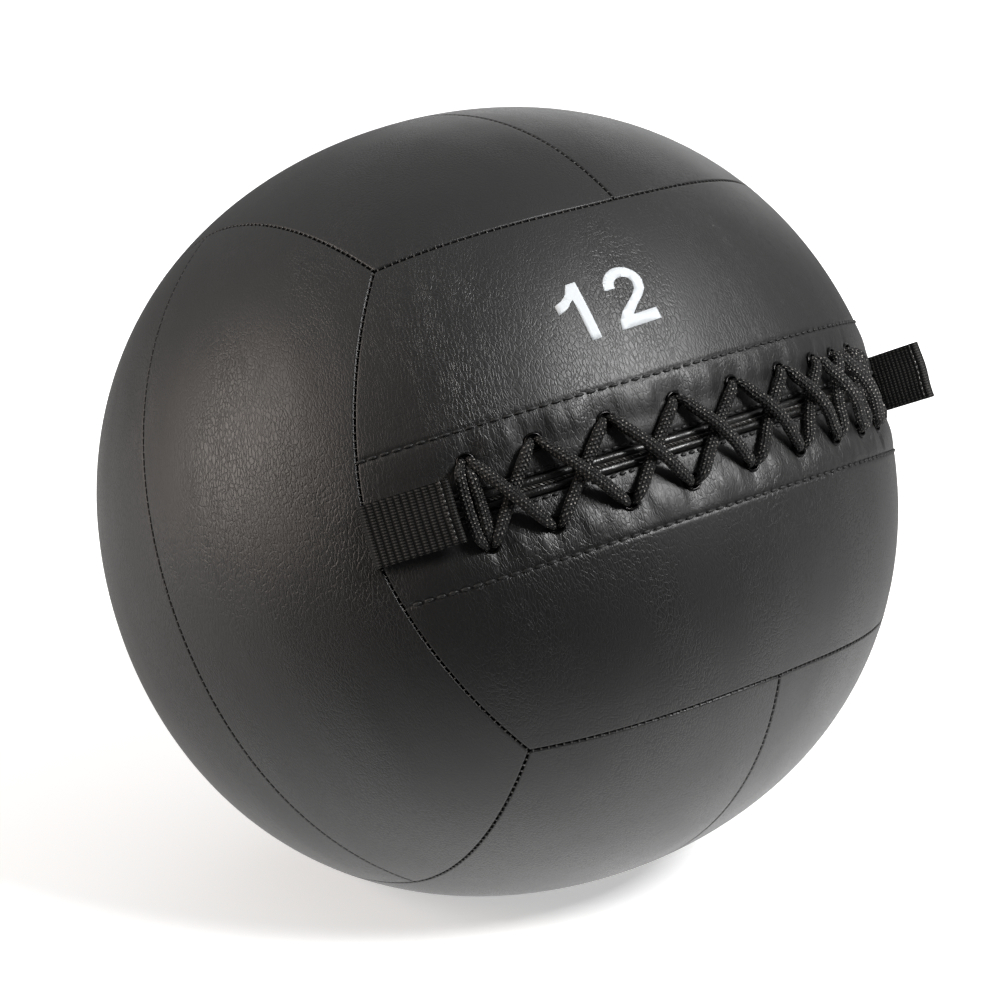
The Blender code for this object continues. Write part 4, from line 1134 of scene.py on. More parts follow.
    def front_run(self, height: float) -> tuple[float, float]:
        """Arcs where a line at this height meets the seams at the front's two ends.

        Args:
            height: Height above the mid-line, or below it.

        Returns:
            The first and the last arc.
        """
        found = []
        shares = np.linspace(0, 1, self.net.samples)
        for end in (-1, 1):
            line = self.net.half_seam("front", end, 1 if height > 0 else -1, shares)
            arc, level = self.form.arc_and_height(line)
            found.append(float(np.interp(abs(height), np.abs(level), arc)))
        return found[0], found[1]

    def row(self, height: float, pitch: float, size: tuple[float, float], phase: float) -> list[Matrix]:
        """Places of a row of stitches along the front.

        Args:
            height: Height of the row above the mid-line.
            pitch: Length from one stitch to the next.
            size: Length and width of a stitch.
            phase: Share of the pitch at which the row starts.

        Returns:
            Place and shape of each stitch.
        """
        first, last = self.front_run(height)
        first, last = first + self.row_margin, last - self.row_margin
        numbers = np.arange(np.ceil(first / pitch - phase), np.floor(last / pitch - phase) + 1)
        length, width = size
        shape = Matrix.Diagonal((length / 2, width / 2, width / 2, 1))
        return [self.work.place(arc, height, self.row_lift) @ shape for arc in (numbers + phase) * pitch]

    def topstitching(self) -> None:
        """Two long rows beside the lacing and two fine ones beside the lips."""
        places = []
        for height in self.work.topstitch:
            places += self.row(height, self.work.stitch_pitch, self.topstitch_size, 0.5)
        lip = self.work.lip_edge() + self.work.lip_stitch
        for height in (lip, -lip):
            places += self.row(height, self.lip_stitch_pitch, self.lip_stitch_size, 0.25)
        mesh = self.shop.scatter("topstitching", places, 8, 6)
        self.shop.finish("topstitching", mesh, self.thread, "cover_vinyl")

    def one(self) -> np.ndarray:
        """Outline of a figure one: a stem and the flag at its head."""
        flag_reach, flag_drop = 0.33 * self.number_height, 0.28 * self.number_height
        left, head, hang = flag_reach + 0.9 * MM, self.number_height, 0.85 * self.number_stroke
        right, low = left + self.number_stroke, head - flag_drop
        flag = [(0.74 * left, head - 0.55 * flag_drop), (0.42 * left, head - 0.83 * flag_drop), (0.0, low)]
        under = [(0.0, low - hang), (0.5 * left, low - 0.66 * hang), (left, low + 0.1 * hang)]
        return np.array([(left, 0.0), (right, 0.0), (right, head), (left, head), *flag, *under])

    def two(self) -> np.ndarray:
        """Outline of a figure two: a bowl open at the left, a diagonal and a foot.

        Returns:
            Corners of the outline in order.
        """
        head, stroke = self.number_height + 0.6 * MM, self.number_stroke
        wide, deep = 9.8 * MM, 7.7 * MM
        centre = np.array((10.9 * MM, head - deep))
        turn = np.linspace(0, pi, 25)[:, None]
        bowl = centre + np.hstack((wide * np.cos(turn), deep * np.sin(turn)))
        narrow, shallow = wide - 1.1 * stroke, deep - 0.86 * stroke
        hollow = centre + np.hstack((-narrow * np.cos(turn), shallow * np.sin(turn)))
        foot = [(0.0, 0.0), (20.2 * MM, 0.0), (20.2 * MM, stroke), (8.4 * MM, stroke)]
        outside = [(12.3 * MM, 7.9 * MM), (16.6 * MM, 10.6 * MM), (19.5 * MM, 13.2 * MM)]
        inside = [(14.7 * MM, 14.3 * MM), (11.9 * MM, 11.9 * MM), (4.4 * MM, 7.2 * MM), (1.2 * MM, 3.9 * MM)]
        return np.vstack((foot, outside, bowl, hollow, inside))

    def printed_number(self) -> None:
        """The weight as a plain number, printed on the upper front panel."""
        bm = bmesh.new()
        for outline, shift in ((self.one(), 0.0), (self.two(), self.number_shift)):
            bm.faces.new([bm.verts.new((x + shift, y, 0)) for x, y in outline])
        bm.normal_update()
        bmesh.ops.triangulate(bm, faces=bm.faces)
        width = max(vertex.co.x for vertex in bm.verts)
        for axis, reach in ((X, width), (Y, self.number_height)):
            normal = Vector((axis == X, axis == Y, 0))
            for step in np.arange(self.number_step, reach, self.number_step):
                everything = [*bm.verts, *bm.edges, *bm.faces]
                bmesh.ops.bisect_plane(bm, geom=everything, plane_co=normal * step, plane_no=normal)
        for vertex in bm.verts:
            arc = self.number_start + vertex.co.x - self.number_slope * vertex.co.y
            height = self.number_base + vertex.co.y + self.number_slope * vertex.co.x
            point = self.form.on_front(arc, height, self.number_lift)
            vertex.co = Vector(self.form.lay_down(point))
        mesh = mesh_of(bm, "printed_number")
        self.shop.face_outwards(mesh)
        piece = self.shop.finish("printed_number", mesh, INK.make(), "cover_vinyl")
        wall(piece, self.number_film)

    def build(self) -> None:
        """Make the whole cover."""
        self.vinyl = GrainedVinyl("embossed_pvc_leathercloth").make(self.form)
        self.thread = THREAD.make()
        for face in FACES:
            for half in (1, -1):
                self.panel(face, half)
        self.seam_stitches()
        self.topstitching()
        self.printed_number()


# Closure


@dataclass
class Closure:
    """Rolled lips, the twisted seam between them, and the eyelets."""

    shop: Workshop
    form: BallForm
    work: Lacework
    facing_width: float = 28 * MM
    facing_depth: float = 2.5 * MM
    facing_thickness: float = 1.2 * MM
    end_margin: float = 6 * MM
    lip_sides: int = 20
    lip_end: float = radians(99)
    column: float = 2.5 * MM
    ring_bore: float = 2.6 * MM
    ring_reach: float = 3.8 * MM
    ring_wall: float = 0.5 * MM
    ring_base: float = 0.3 * MM
    ring_rise: float = 0.75 * MM
    ring_tail: float = 0.8 * MM
    ring_roll: float = 0.4 * MM
    ring_sides: int = 32
    wave_width: float = 5 * MM
    waves: tuple[tuple[float, float, float], ...] = ((0.22 * MM, 13 * MM, 1.0), (0.1 * MM, 5.3 * MM, 0.0))
    strand: float = 0.42 * MM
    strand_column: float = 0.3 * MM
    strand_depth: float = 0.25 * MM
    strand_flatness: float = 0.7
    twist_pitch: float = 3.4 * MM

    def section(self) -> list[tuple[float, float]]:
        """Section of a facing as (height, depth), a flat strip that ends in a rolled lip.

        Returns:
            Corners of the section, from the outer edge round the lip and back.
        """
        radius = self.work.lip_radius
        level = radius - self.work.lip_rise
        middle = radius + self.work.lip_gap / 2
        inner = self.facing_depth + self.facing_thickness
        start = asin((self.facing_depth - level) / radius)
        sweep = start + tau - self.lip_end
        angles = [start - sweep * step / self.lip_sides for step in range(self.lip_sides + 1)]
        lip = [(middle + radius * cos(angle), level + radius * sin(angle)) for angle in angles]
        strip = [self.facing_width * share for share in (1.0, 0.72, 0.5, 0.3)]
        return [(h, self.facing_depth) for h in strip] + lip + [(h, inner) for h in reversed(strip)]

    def facing(self, half: int) -> None:
        """One facing, with the slight waves that its stitching leaves in the lip.

        Args:
            half: One for the upper facing, minus one for the lower.
        """
        reach = self.form.half_front() - self.end_margin
        arcs = np.linspace(-reach, reach, round(2 * reach / self.column) + 1)
        section = self.section()
        section.append(section[0])
        points = np.empty((len(arcs), len(section), 3))
        wave = sum(rise * np.sin(tau * arcs / length + half * turn) for rise, length, turn in self.waves)
        for index, (height, depth) in enumerate(section):
            lift = wave * mound(height, self.wave_width) - depth
            points[:, index] = self.form.on_front(arcs, half * height, lift)
        name = "upper_facing" if half > 0 else "lower_facing"
        mesh = self.shop.seal(self.shop.grid(name, points), sides=len(section))
        self.shop.finish(f"{name}_lip", mesh, self.lip_vinyl, "lip_vinyl", (name,), sharp=radians(60))

    def twisted_seam(self) -> None:
        """Two thin strands twisted along the slit between the lips."""
        reach = self.form.half_front() - 2 * self.end_margin
        arcs = np.linspace(-reach, reach, round(2 * reach / self.strand_column))
        out = self.form.front_direction(arcs, 0.0)
        up = np.broadcast_to(np.array([0.0, 0.0, 1.0]), out.shape)
        centre = self.form.on_front(arcs, 0.0, -self.strand_depth)
        strands = []
        for side in (0.0, pi):
            angle = (tau * arcs / self.twist_pitch + side)[:, None]
            path = centre + (np.cos(angle) * up + self.strand_flatness * np.sin(angle) * out) * self.strand
            strands.append(self.shop.tube("strand", path, np.full(len(path), self.strand), 6))
        mesh = mesh_of(self.shop.gather(strands), "twisted_seam")
        self.shop.finish("twisted_seam", mesh, self.thread, "lip_vinyl")

    def ring(self) -> list[tuple[float, float]]:
        """Section of an eyelet: a barrel with a rounded flange on the face and a rolled end behind.

        Returns:
            Corners of the section as (radius, height).
        """
        back = -(self.facing_depth + self.facing_thickness + self.ring_tail)
        barrel = self.ring_bore + self.ring_wall
        middle, half = (self.ring_bore + self.ring_reach) / 2, (self.ring_reach - self.ring_bore) / 2
        base, angles = self.ring_base, [pi * step / 8 for step in range(9)]
        dome = [(middle - half * cos(angle), base + self.ring_rise * sin(angle)) for angle in angles]
        rolled, top = barrel + self.ring_wall, back + self.ring_roll
        foot = [(barrel, top), (rolled, top), (rolled, back), (self.ring_bore, back)]
        return [*dome, (barrel, base), *foot]

    def eyelets(self) -> None:
        """All eighteen eyelets."""
        steel = EYELET_STEEL.make()
        for half, label in ((1, "upper"), (-1, "lower")):
            for number, arc in enumerate(self.work.arcs(half), start=1):
                place = self.work.place(float(arc), half * self.work.offset)
                name = f"{label}_eyelet_{number}"
                mesh = self.shop.turned(name, self.ring(), self.ring_sides, place)
                self.shop.finish(f"{name}_ring", mesh, steel, "eyelet_steel", (name,))

    def build(self) -> None:
        """Make the closure."""
        glazed = GrainedVinyl("glazed_pvc_leathercloth", "#0d0c0c", "#151413", 0.26, depth=0.06 * MM)
        self.lip_vinyl = glazed.make(self.form)
        self.thread = SEAM_THREAD.make()
        for half in (1, -1):
            self.facing(half)
        self.twisted_seam()
        self.eyelets()


# Lace


class Slot(Enum):
    """Place of one pass of the lace in an eyelet, as shares of the spread sideways and inwards."""

    LEFT = (-1, -0.5)
    RIGHT = (1, -0.5)
    MIDDLE = (0, 1.1)


@dataclass(frozen=True)
class Pass:
    """One pass of the lace through an eyelet."""

    frame: Matrix
    arc: float
    height: float
    across: tuple[float, float]


@dataclass
class Lacing:
    """One braided lace: out along the rising strands and back over them along the falling ones.

    Behind the facings the first number of a pair holds, or the second where strands cross there.
    """

    shop: Workshop
    form: BallForm
    work: Lacework
    radius: float = 2.5 * MM
    neck: float = 1.35 * MM
    gap: float = 0.5 * MM
    spread: float = 1.3 * MM
    wrap: float = 2.6 * MM
    bore: float = 3.1 * MM
    knot_radius: float = 4.2 * MM
    knot_cord: float = 1.3 * MM
    clearance: float = 0.1 * MM
    mouth_lift: float = 1.9 * MM
    shoulder_lift: float = 1.2 * MM
    crossing_rise: float = 1.9
    crossing_drop: float = 0.5 * MM
    last_bulge: float = 1.2 * MM
    tail_shift: tuple[float, float] = (1.8 * MM, 2 * MM)
    bore_top: float = 1.4 * MM
    bore_bottom: float = -4.2 * MM
    under: tuple[float, float] = (6.4 * MM, 8.6 * MM)
    under_turn: tuple[float, float] = (0.08, 0.05)
    bow_power: float = 0.45
    plait_swell: float = 0.025
    plait_turn: float = 7 * MM
    step: float = 0.55 * MM
    points: list[np.ndarray] = field(default_factory=list)
    radii: list[float] = field(default_factory=list)

    def low(self) -> float:
        """Lift of the lace's centre where it lies on the lips."""
        return self.work.lip_rise + self.radius + self.clearance

    def high(self) -> float:
        """Lift of the lace's centre where it crosses another strand."""
        return self.low() + self.crossing_rise * self.radius

    def passing(self, column: int, half: int, slot: Slot) -> Pass:
        """Work out one pass through an eyelet."""
        arc = float(self.work.arcs(half)[column])
        sideways, inwards = slot.value
        across = (sideways * self.spread, -half * inwards * self.spread)
        frame = self.work.place(arc, half * self.work.offset)
        return Pass(frame, arc + across[0], half * self.work.offset + across[1], across)

    def add(self, arc: float, height: float, lift: float, radius: float) -> None:
        """Add one point by its place on the front."""
        self.points.append(self.form.on_front(arc, height, lift))
        self.radii.append(radius)

    def add_in_bore(self, place: Pass, lift: float) -> None:
        """Add one squeezed point on the axis of a pass."""
        self.points.append(np.array(place.frame @ Vector((*place.across, lift))))
        self.radii.append(self.neck)

    def between(self, start: Pass, end: Pass, share: float, bulge: float) -> tuple[float, float]:
        """Arc and height part of the way between two passes, bowed sideways."""
        arc = start.arc + (end.arc - start.arc) * share + bulge * sin(pi * share) ** self.bow_power
        return arc, start.height + (end.height - start.height) * share

    def over(self, start: Pass, end: Pass, crossing: bool, bulge: float = 0.0) -> None:
        """Pass over the vinyl between two eyelets, humped where it crosses another strand.

        Args:
            start: Where the lace comes up.
            end: Where it goes down again.
            crossing: Whether another strand lies under it.
            bulge: How far it bows sideways.
        """
        run = hypot(end.arc - start.arc, end.height - start.height)
        leave = self.bore / run
        full = 2 * self.radius / run
        low, high = self.low(), self.high()
        steps = [
            (leave, self.mouth_lift + 0.6 * self.radius, 0.85 * self.radius),
            (leave + 0.6 * full, self.shoulder_lift + self.radius, self.radius),
        ]
        if crossing:
            steps += [(0.25, low + self.radius, self.radius), (0.37, high - self.crossing_drop, self.radius)]
            steps += [(0.5, high, self.radius)]
        else:
            steps += [(0.34, low, self.radius), (0.5, low, self.radius)]
        steps += [(1 - share, lift, radius) for share, lift, radius in reversed(steps[:-1])]
        self.add_in_bore(start, self.bore_top)
        for share, lift, radius in steps:
            self.add(*self.between(start, end, share, bulge), lift, radius)
        self.add_in_bore(end, self.bore_top)

    def behind(self, start: Pass, end: Pass, deep: bool = False, bulge: float = 0.0) -> None:
        """Pass behind the facings between two eyelets, deeper where another strand is in the way."""
        turn, depth = self.under_turn[deep], self.under[deep]
        self.add_in_bore(start, self.bore_bottom)
        for share in (turn, 0.5, 1 - turn):
            self.add(*self.between(start, end, share, bulge), -depth, self.neck)
        self.add_in_bore(end, self.bore_bottom)

    def knot_arc(self) -> float:
        """Arc of the knot, between the first two pairs of eyelets."""
        return (self.work.arcs(1)[0] + self.work.arcs(1)[1]) / 2

    def tail(self, half: int, slot: Slot, outwards: bool) -> None:
        """One end of the lace, from the knot or into it.

        Args:
            half: Row of the eyelet that it comes through.
            slot: Its place in that eyelet.
            outwards: Whether the lace starts here.
        """
        start = self.passing(0, half, slot)
        knot, depth, gap = self.knot_arc(), self.under[0], self.knot_radius + self.gap
        aside, inwards = self.tail_shift
        steps = [
            (start.arc + aside, start.height - half * inwards, -depth),
            (knot - self.radius, half * (gap + 2 * self.radius), -depth),
            (knot, half * gap, -depth),
        ]
        if not outwards:
            self.add_in_bore(start, self.bore_bottom)
        for arc, height, lift in reversed(steps) if outwards else steps:
            self.add(arc, height, lift, self.neck)
        if outwards:
            self.add_in_bore(start, self.bore_bottom)

    def route(self) -> None:
        """Lay the whole lace."""
        last = len(self.work.arcs(1)) - 1
        aside = self.wrap / 3
        left, right, middle = Slot.LEFT, Slot.RIGHT, Slot.MIDDLE
        self.tail(-1, right, outwards=True)
        for column in range(last):
            bow = -aside if column + 1 == last else 0.0
            rise = self.passing(column, -1, right), self.passing(column + 1, 1, left)
            self.over(*rise, crossing=False, bulge=bow)
            if column + 1 < last:
                self.behind(rise[1], self.passing(column + 1, -1, right))
        self.behind(self.passing(last, 1, left), self.passing(last, -1, right), deep=True)
        wrap = self.passing(last, -1, right), self.passing(last, 1, right)
        self.over(*wrap, crossing=False, bulge=self.wrap + aside)
        self.behind(wrap[1], self.passing(last, -1, middle), bulge=aside)
        self.over(self.passing(last, -1, middle), self.passing(last, 1, middle), crossing=False, bulge=aside)
        self.behind(self.passing(last, 1, middle), self.passing(last, -1, left))
        for column in range(last, 0, -1):
            fall = self.passing(column, -1, left), self.passing(column - 1, 1, right)
            self.over(*fall, crossing=True)
            if column > 1:
                self.behind(fall[1], self.passing(column - 1, -1, left), deep=True)
        self.behind(self.passing(0, 1, right), self.passing(0, -1, left), deep=True)
        self.over(self.passing(0, -1, left), self.passing(0, 1, left), crossing=False, bulge=-self.wrap)
        self.behind(self.passing(0, 1, left), self.passing(0, -1, middle), bulge=-1.5 * aside)
        wrap = self.passing(0, -1, middle), self.passing(0, 1, middle)
        self.over(*wrap, crossing=False, bulge=self.last_bulge)
        self.tail(1, middle, outwards=False)

    def smooth(self) -> tuple[np.ndarray, np.ndarray]:
        """Round the route off into one easy curve.

        Returns:
            Points a fixed step apart, and the radius at each.
        """
        raw = np.column_stack((np.array(self.points), self.radii))
        for _ in range(3):
            first, last = raw[:1], raw[-1:]
            cut = np.empty((2 * len(raw) - 2, 4))
            cut[0::2] = 0.75 * raw[:-1] + 0.25 * raw[1:]
            cut[1::2] = 0.25 * raw[:-1] + 0.75 * raw[1:]
            raw = np.concatenate((first, cut, last))
        along = run_along(raw[:, :3])
        even = np.linspace(0, along[-1], round(along[-1] / self.step))
        out = np.array([np.interp(even, along, raw[:, axis]) for axis in range(4)]).T
        LOG.info("lace: %.0f mm long", along[-1] / MM)
        return out[:, :3], out[:, 3]

    def knot(self, cord: bpy.types.Material) -> None:
        """Tight knot of the lace's two ends behind the facings.

        Args:
            cord: Finish of the lace.
        """
        centre = self.form.on_front(self.knot_arc(), 0.0, -self.under[0])
        turns = np.linspace(0, tau, 121)
        # a trefoil, a little flattened
        right = np.sin(turns) + 2 * np.sin(2 * turns)
        up = np.cos(turns) - 2 * np.cos(2 * turns)
        loops = np.stack((right, -0.6 * np.sin(3 * turns), up), axis=-1)
        path = centre + loops * self.knot_radius / 4.6
        mesh = self.shop.tube("knot", path, np.full(len(path), self.knot_cord), 10)
        self.shop.finish("tied_knot", mesh, cord, "braided_lace", ("lace_knot",))

    def build(self) -> None:
        """Make the lace and its knot."""
        cord = BraidedPolyester("braided_polyester_cord").make()
        self.route()
        path, radii = self.smooth()

        def plaits(around: np.ndarray, run: np.ndarray) -> np.ndarray:
            """Slight swelling of the cord over its inner strands."""
            return 1 + self.plait_swell * np.sin(tau * (2 * around + run / self.plait_turn))

        mesh = self.shop.tube("braided_lace", path, radii, 16, plaits)
        self.shop.finish("braided_lace", mesh, cord, "braided_lace", ("lace",))
        self.knot(cord)


# Webbing tabs


@dataclass
class WebbingTab:
    """One tab: nylon webbing folded double, whose two ends run down into the seam."""

    shop: Workshop
    form: BallForm
    net: SeamNet
    name: str
    body: str
    side: int
    lean: float
    width: float = 25 * MM
    length: float = 37.5 * MM
    ply: float = 1.4 * MM
    slot: float = 0.5 * MM
    rise: float = 0.3 * MM
    tuck: float = 5 * MM
    bend: float = 2.2 * MM
    bend_start: float = 0.8 * MM
    step: float = 1.2 * MM
    puff: float = 0.25 * MM
    edge: float = 0.35 * MM
    wave: float = 0.35 * MM
    wave_length: float = 21 * MM
    stitch_inset: float = 3.4 * MM
    stitch_pitch: float = 2.4 * MM
    stitch: tuple[float, float, float] = (0.45 * MM, 0.3 * MM, 0.95 * MM)

    def frame(self) -> Matrix:
        """Frame of the tab: origin on its hinge line, X along it, Z up the seam."""
        direction = unit(self.net.junction("front", self.side))
        rise = self.ply + self.slot / 2 + self.rise
        origin = Vector(direction * (float(self.form.reach(direction)) + rise))
        turn = atan2(direction[Y], direction[X]) - self.side * self.lean
        return Matrix.Translation(origin) @ Matrix.Rotation(turn, 4, "Z")

    def inward(self) -> np.ndarray:
        """Direction into the seam, in the tab's plane."""
        return -np.array((cos(self.side * self.lean), sin(self.side * self.lean)))

    def centre_line(self) -> np.ndarray:
        """Line along the middle of both plies, from inside the seam to the fold."""
        shares = np.linspace(0, 1, 9)[:, None]
        curve = (1 - shares) ** 2 * self.inward() * self.bend + shares**2 * np.array((self.bend, 0.0))
        start = self.inward() * np.linspace(self.tuck, self.bend, 4)[:-1, None]
        run = np.arange(self.bend + self.step, self.length - self.ply - self.slot / 2, self.step)
        return np.concatenate((start, curve, np.stack((run, np.zeros_like(run)), axis=-1)))

    def strip(self) -> np.ndarray:
        """Middle of the webbing all the way: out along one ply, round the fold and back.

        Returns:
            Points in the tab's plane.
        """
        middle = self.centre_line()
        tangent = unit(np.gradient(middle, axis=0))
        normal = np.stack((-tangent[:, 1], tangent[:, 0]), axis=-1)
        apart = (self.slot + self.ply) / 2
        reach = middle[:, 0].clip(0)
        puff = self.puff * np.sin(pi * np.clip(reach / self.length, 0, 1))
        out = middle + normal * (apart + puff)[:, None]
        back = middle - normal * (apart + 0.3 * puff)[:, None]
        tip = middle[-1]
        angles = np.linspace(pi / 2, -pi / 2, 13)[1:-1]
        fold = tip + np.stack((np.cos(angles), np.sin(angles)), axis=-1) * apart
        return np.concatenate((out, fold, back[::-1]))

    def build(self, webbing: bpy.types.Material) -> None:
        """Make the tab.

        Args:
            webbing: Its finish.
        """
        path = self.strip()
        widths = np.linspace(-self.width / 2, self.width / 2, 21)
        frame = self.frame()
        shares = np.clip(path[:, 0] / self.length, 0, 1)
        wave = self.wave * np.outer(np.sin(tau * widths / self.wave_length + self.side), shares**2)
        points = np.empty((len(widths), len(path), 3))
        for row, level in enumerate(widths):
            for column, (x, y) in enumerate(path):
                points[row, column] = frame @ Vector((x, y + wave[row, column], level))
        mesh = self.shop.grid(self.name, points, tuple(np.meshgrid(run_along(path), widths)))
        piece = self.shop.finish(f"{self.name}_strip", mesh, webbing, "webbing", (self.name,), body=None)
        wall(piece, self.ply, 0)
        edge = piece.modifiers.new("edge", "BEVEL")
        edge.width = self.edge
        edge.segments = 2
        edge.limit_method = "ANGLE"
        edge.angle_limit = radians(60)
        lay = self.form.lay() @ frame
        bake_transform(piece)

    def stitching(self, thread: bpy.types.Material) -> None:
        """Row of stitches across the tab's end, sewn through both plies.

        Args:
            thread: Finish of the stitches.
        """
        frame = self.frame()
        reach = self.length - self.stitch_inset
        share = (reach / self.length) ** 2
        face = self.ply + self.slot / 2 + 0.1 * MM
        places = []
        for level in np.arange(self.stitch_pitch - self.width / 2, self.width / 2, self.stitch_pitch):
            wave = self.wave * sin(tau * level / self.wave_length + self.side) * share
            for ply in (-1, 1):
                place = frame @ Matrix.Translation((reach, ply * face + wave, level))
                places.append(place @ Matrix.Diagonal((*self.stitch, 1)))
        mesh = self.shop.scatter(f"{self.name}_stitches", places, 8, 5)
        self.shop.finish(f"{self.name}_stitches", mesh, thread, "webbing", body=self.body)


# What lies inside


@dataclass
class Filling:
    """Tongue, liner bag, fibre padding, and the tied sack of iron grit."""

    shop: Workshop
    form: BallForm
    net: SeamNet
    work: Lacework
    low: tuple[float, float] = (0.79, 0.9)
    tongue_width: float = 54 * MM
    tongue_overrun: float = 16 * MM
    tongue_depth: float = 4.5 * MM
    tongue_dip: float = 4.9 * MM
    tongue_across: tuple[float, float] = (21 * MM, 27 * MM)
    tongue_along: float = 10 * MM
    tongue_ripple: tuple[float, float] = (0.25 * MM, 19 * MM)
    tongue_wall: float = 1.0 * MM
    core_radius: float = 90 * MM
    sack_wall: float = 1 * MM
    neck_radius: float = 14 * MM
    neck_length: float = 26 * MM
    pleat: float = 0.05
    fill_gap: float = 0.4 * MM
    tie_radius: float = 2.5 * MM
    tie_pitch: float = 1.6 * MM
    twine: float = 0.85 * MM
    liner_depth: float = 3.4 * MM
    liner_low: float = 1.3 * MM
    liner_ripple: float = 0.2 * MM
    liner_across: tuple[float, float] = (24.3 * MM, 31.5 * MM)
    liner_merge: float = 0.4 * MM
    liner_wall: float = 0.8 * MM
    mouth: float = 7 * MM
    under_tongue: float = 11.6 * MM
    padding_depth: float = 8.5 * MM
    padding_low: float = 4.5 * MM
    padding_dip: float = 9 * MM
    padding_across: tuple[float, float] = (50 * MM, 82 * MM)
    padding_lump: float = 1.2 * MM
    padding_gap: float = 0.4 * MM
    padding_merge: float = 0.3 * MM
    padding_fill: float = 0.8

    def tongue(self) -> None:
        """Cloth tongue that dips under the lacing."""
        first = self.work.start - self.tongue_overrun
        last = self.work.start + self.work.length + self.tongue_overrun
        arcs = np.linspace(first, last, 130)
        heights = np.linspace(-self.tongue_width / 2, self.tongue_width / 2, 37)
        arc, height = np.meshgrid(arcs, heights)
        across = np.interp(np.abs(height), self.tongue_across, (1, 0))
        along = np.interp(np.minimum(arc - first, last - arc), (0, self.tongue_along), (0, 1))
        rise, wave_length = self.tongue_ripple
        ripple = rise * np.sin(tau * arc / wave_length) * across
        depth = self.tongue_depth + self.tongue_dip * across * along + ripple
        mesh = self.shop.grid("tongue", self.form.on_front(arc, height, -depth))
        self.shop.face_outwards(mesh)
        piece = self.shop.finish("tongue_cloth", mesh, self.cloth, "liner_cloth", ("tongue",))
        wall(piece, self.tongue_wall)

    def liner(self) -> None:
        """Bag of woven lining, sewn like the cover and open under the tongue."""
        parts = []
        shares = np.linspace(0, 1, 15)
        end = self.form.half_front()
        for face in FACES:
            for half in (1, -1):
                directions = self.net.panel(face, half, shares, np.linspace(0, 1, 29))
                arc, height = self.form.arc_and_height(directions)
                across = np.interp(np.abs(height), self.liner_across, (1, 0))
                along = np.interp(np.abs(arc), (0.75 * end, end), (1, 0))
                depth = self.liner_depth + self.liner_low * self.lowness(directions)
                toward = directions[..., Y] < 0
                depth = depth + np.where(toward, (self.under_tongue - depth) * across * along, 0)
                ripple = np.sin(40 * directions[..., X]) * np.cos(37 * directions[..., Z])
                depth = depth + self.liner_ripple * ripple
                part = self.shop.grid("part", directions * self.form.reach(directions, depth)[..., None])
                self.shop.face_outwards(part)
                parts.append(part)
        bm = self.shop.gather(parts)
        bmesh.ops.remove_doubles(bm, verts=bm.verts, dist=self.liner_merge)
        back = self.form.lay().inverted()
        middle = self.work.start + self.work.length / 2
        mouth = []
        for face in bm.faces:
            place = back @ face.calc_center_median()
            arc, height = self.form.arc_and_height(np.array(place.normalized()))
            if place.y < 0 and abs(height) < self.mouth and abs(arc - middle) < self.work.length / 3:
                mouth.append(face)
        bmesh.ops.delete(bm, geom=mouth, context="FACES")
        mesh = mesh_of(bm, "liner")
        piece = self.shop.finish("liner_bag_cloth", mesh, self.cloth, "liner_cloth", ("liner_bag",))
        wall(piece, self.liner_wall)

    def padding(self, side: int, name: str) -> None:
        """One thick half of fibre padding, lumpy as loose wadding is.

        Args:
            side: Minus one for the left half, one for the right.
            name: Name of the solid that it stands for.
        """
        turn, tilt = np.meshgrid(np.linspace(-pi / 2, pi / 2, 49), np.linspace(0.001, pi - 0.001, 49))
        aside, forward = side * np.sin(tilt) * np.cos(turn), np.sin(tilt) * np.sin(turn)
        directions = np.stack((aside, forward, np.cos(tilt)), axis=-1)
        height = self.form.arc_and_height(directions)[1]
        dip = np.interp(np.abs(height), self.padding_across, (1, 0)) * (directions[..., Y] < 0.15)
        lumps = np.sin(17 * directions[..., X] + 3) * np.sin(19 * directions[..., Y]) - 1
        depth = self.padding_depth + self.padding_low * self.lowness(directions) + self.padding_dip * dip
        outer = self.form.reach(directions, depth) + self.padding_lump * lumps
        neck = np.interp(tilt, (radians(16), radians(29)), (1, 0))
        inner = self.core_radius * 1.02 + (self.neck_length + 3 * MM) * neck
        outside, inside = directions * outer[..., None], directions * inner[..., None]
        shell = np.concatenate((outside, inside[:, ::-1], outside[:, :1]), axis=1)
        shell[..., X] += side * self.padding_gap
        mesh = self.shop.seal(self.shop.grid(name, shell), self.padding_merge)
        piece = self.shop.finish(f"{name}_fibre", mesh, self.wadding, "fibre_padding", (name,), sharp=pi)

    def lowness(self, directions: np.ndarray) -> np.ndarray:
        """Share by which a layer is pressed in where the ball rests: none higher up, all at the foot."""
        return np.interp(directions @ self.form.down(), self.low, (0, 1))

    def round_body(
        self, name: str, profile: np.ndarray, pleat: Callable[[np.ndarray], np.ndarray]
    ) -> bpy.types.Mesh:
        """Turn a profile of (radius, height), with pleats, into a closed body about Z."""
        turns = np.linspace(0, tau, 97)
        radius, height = profile[:, :1], profile[:, 1]
        reach = radius * (1 + np.outer(pleat(height), np.cos(15 * turns) + 0.4 * np.sin(7 * turns)))
        level = np.broadcast_to(height[:, None], reach.shape)
        points = np.stack((reach * np.cos(turns), reach * np.sin(turns), level), axis=-1)
        return self.shop.seal(self.shop.grid(name, points), 10 * MERGE)

    def core(self) -> None:
        """Sack gathered at its neck, the grit in it and the twine round it."""

        def side(radius: float, neck: float, count: int) -> np.ndarray:
            """Sphere from its neck to its foot."""
            angles = np.linspace(asin(neck / radius), pi, count)
            return np.stack((radius * np.sin(angles), radius * np.cos(angles)), axis=-1)

        def pleats(heights: np.ndarray) -> np.ndarray:
            """Pleats that run out of the neck."""
            return self.pleat * np.interp(heights, (0.6 * self.core_radius, self.core_radius), (0, 1))

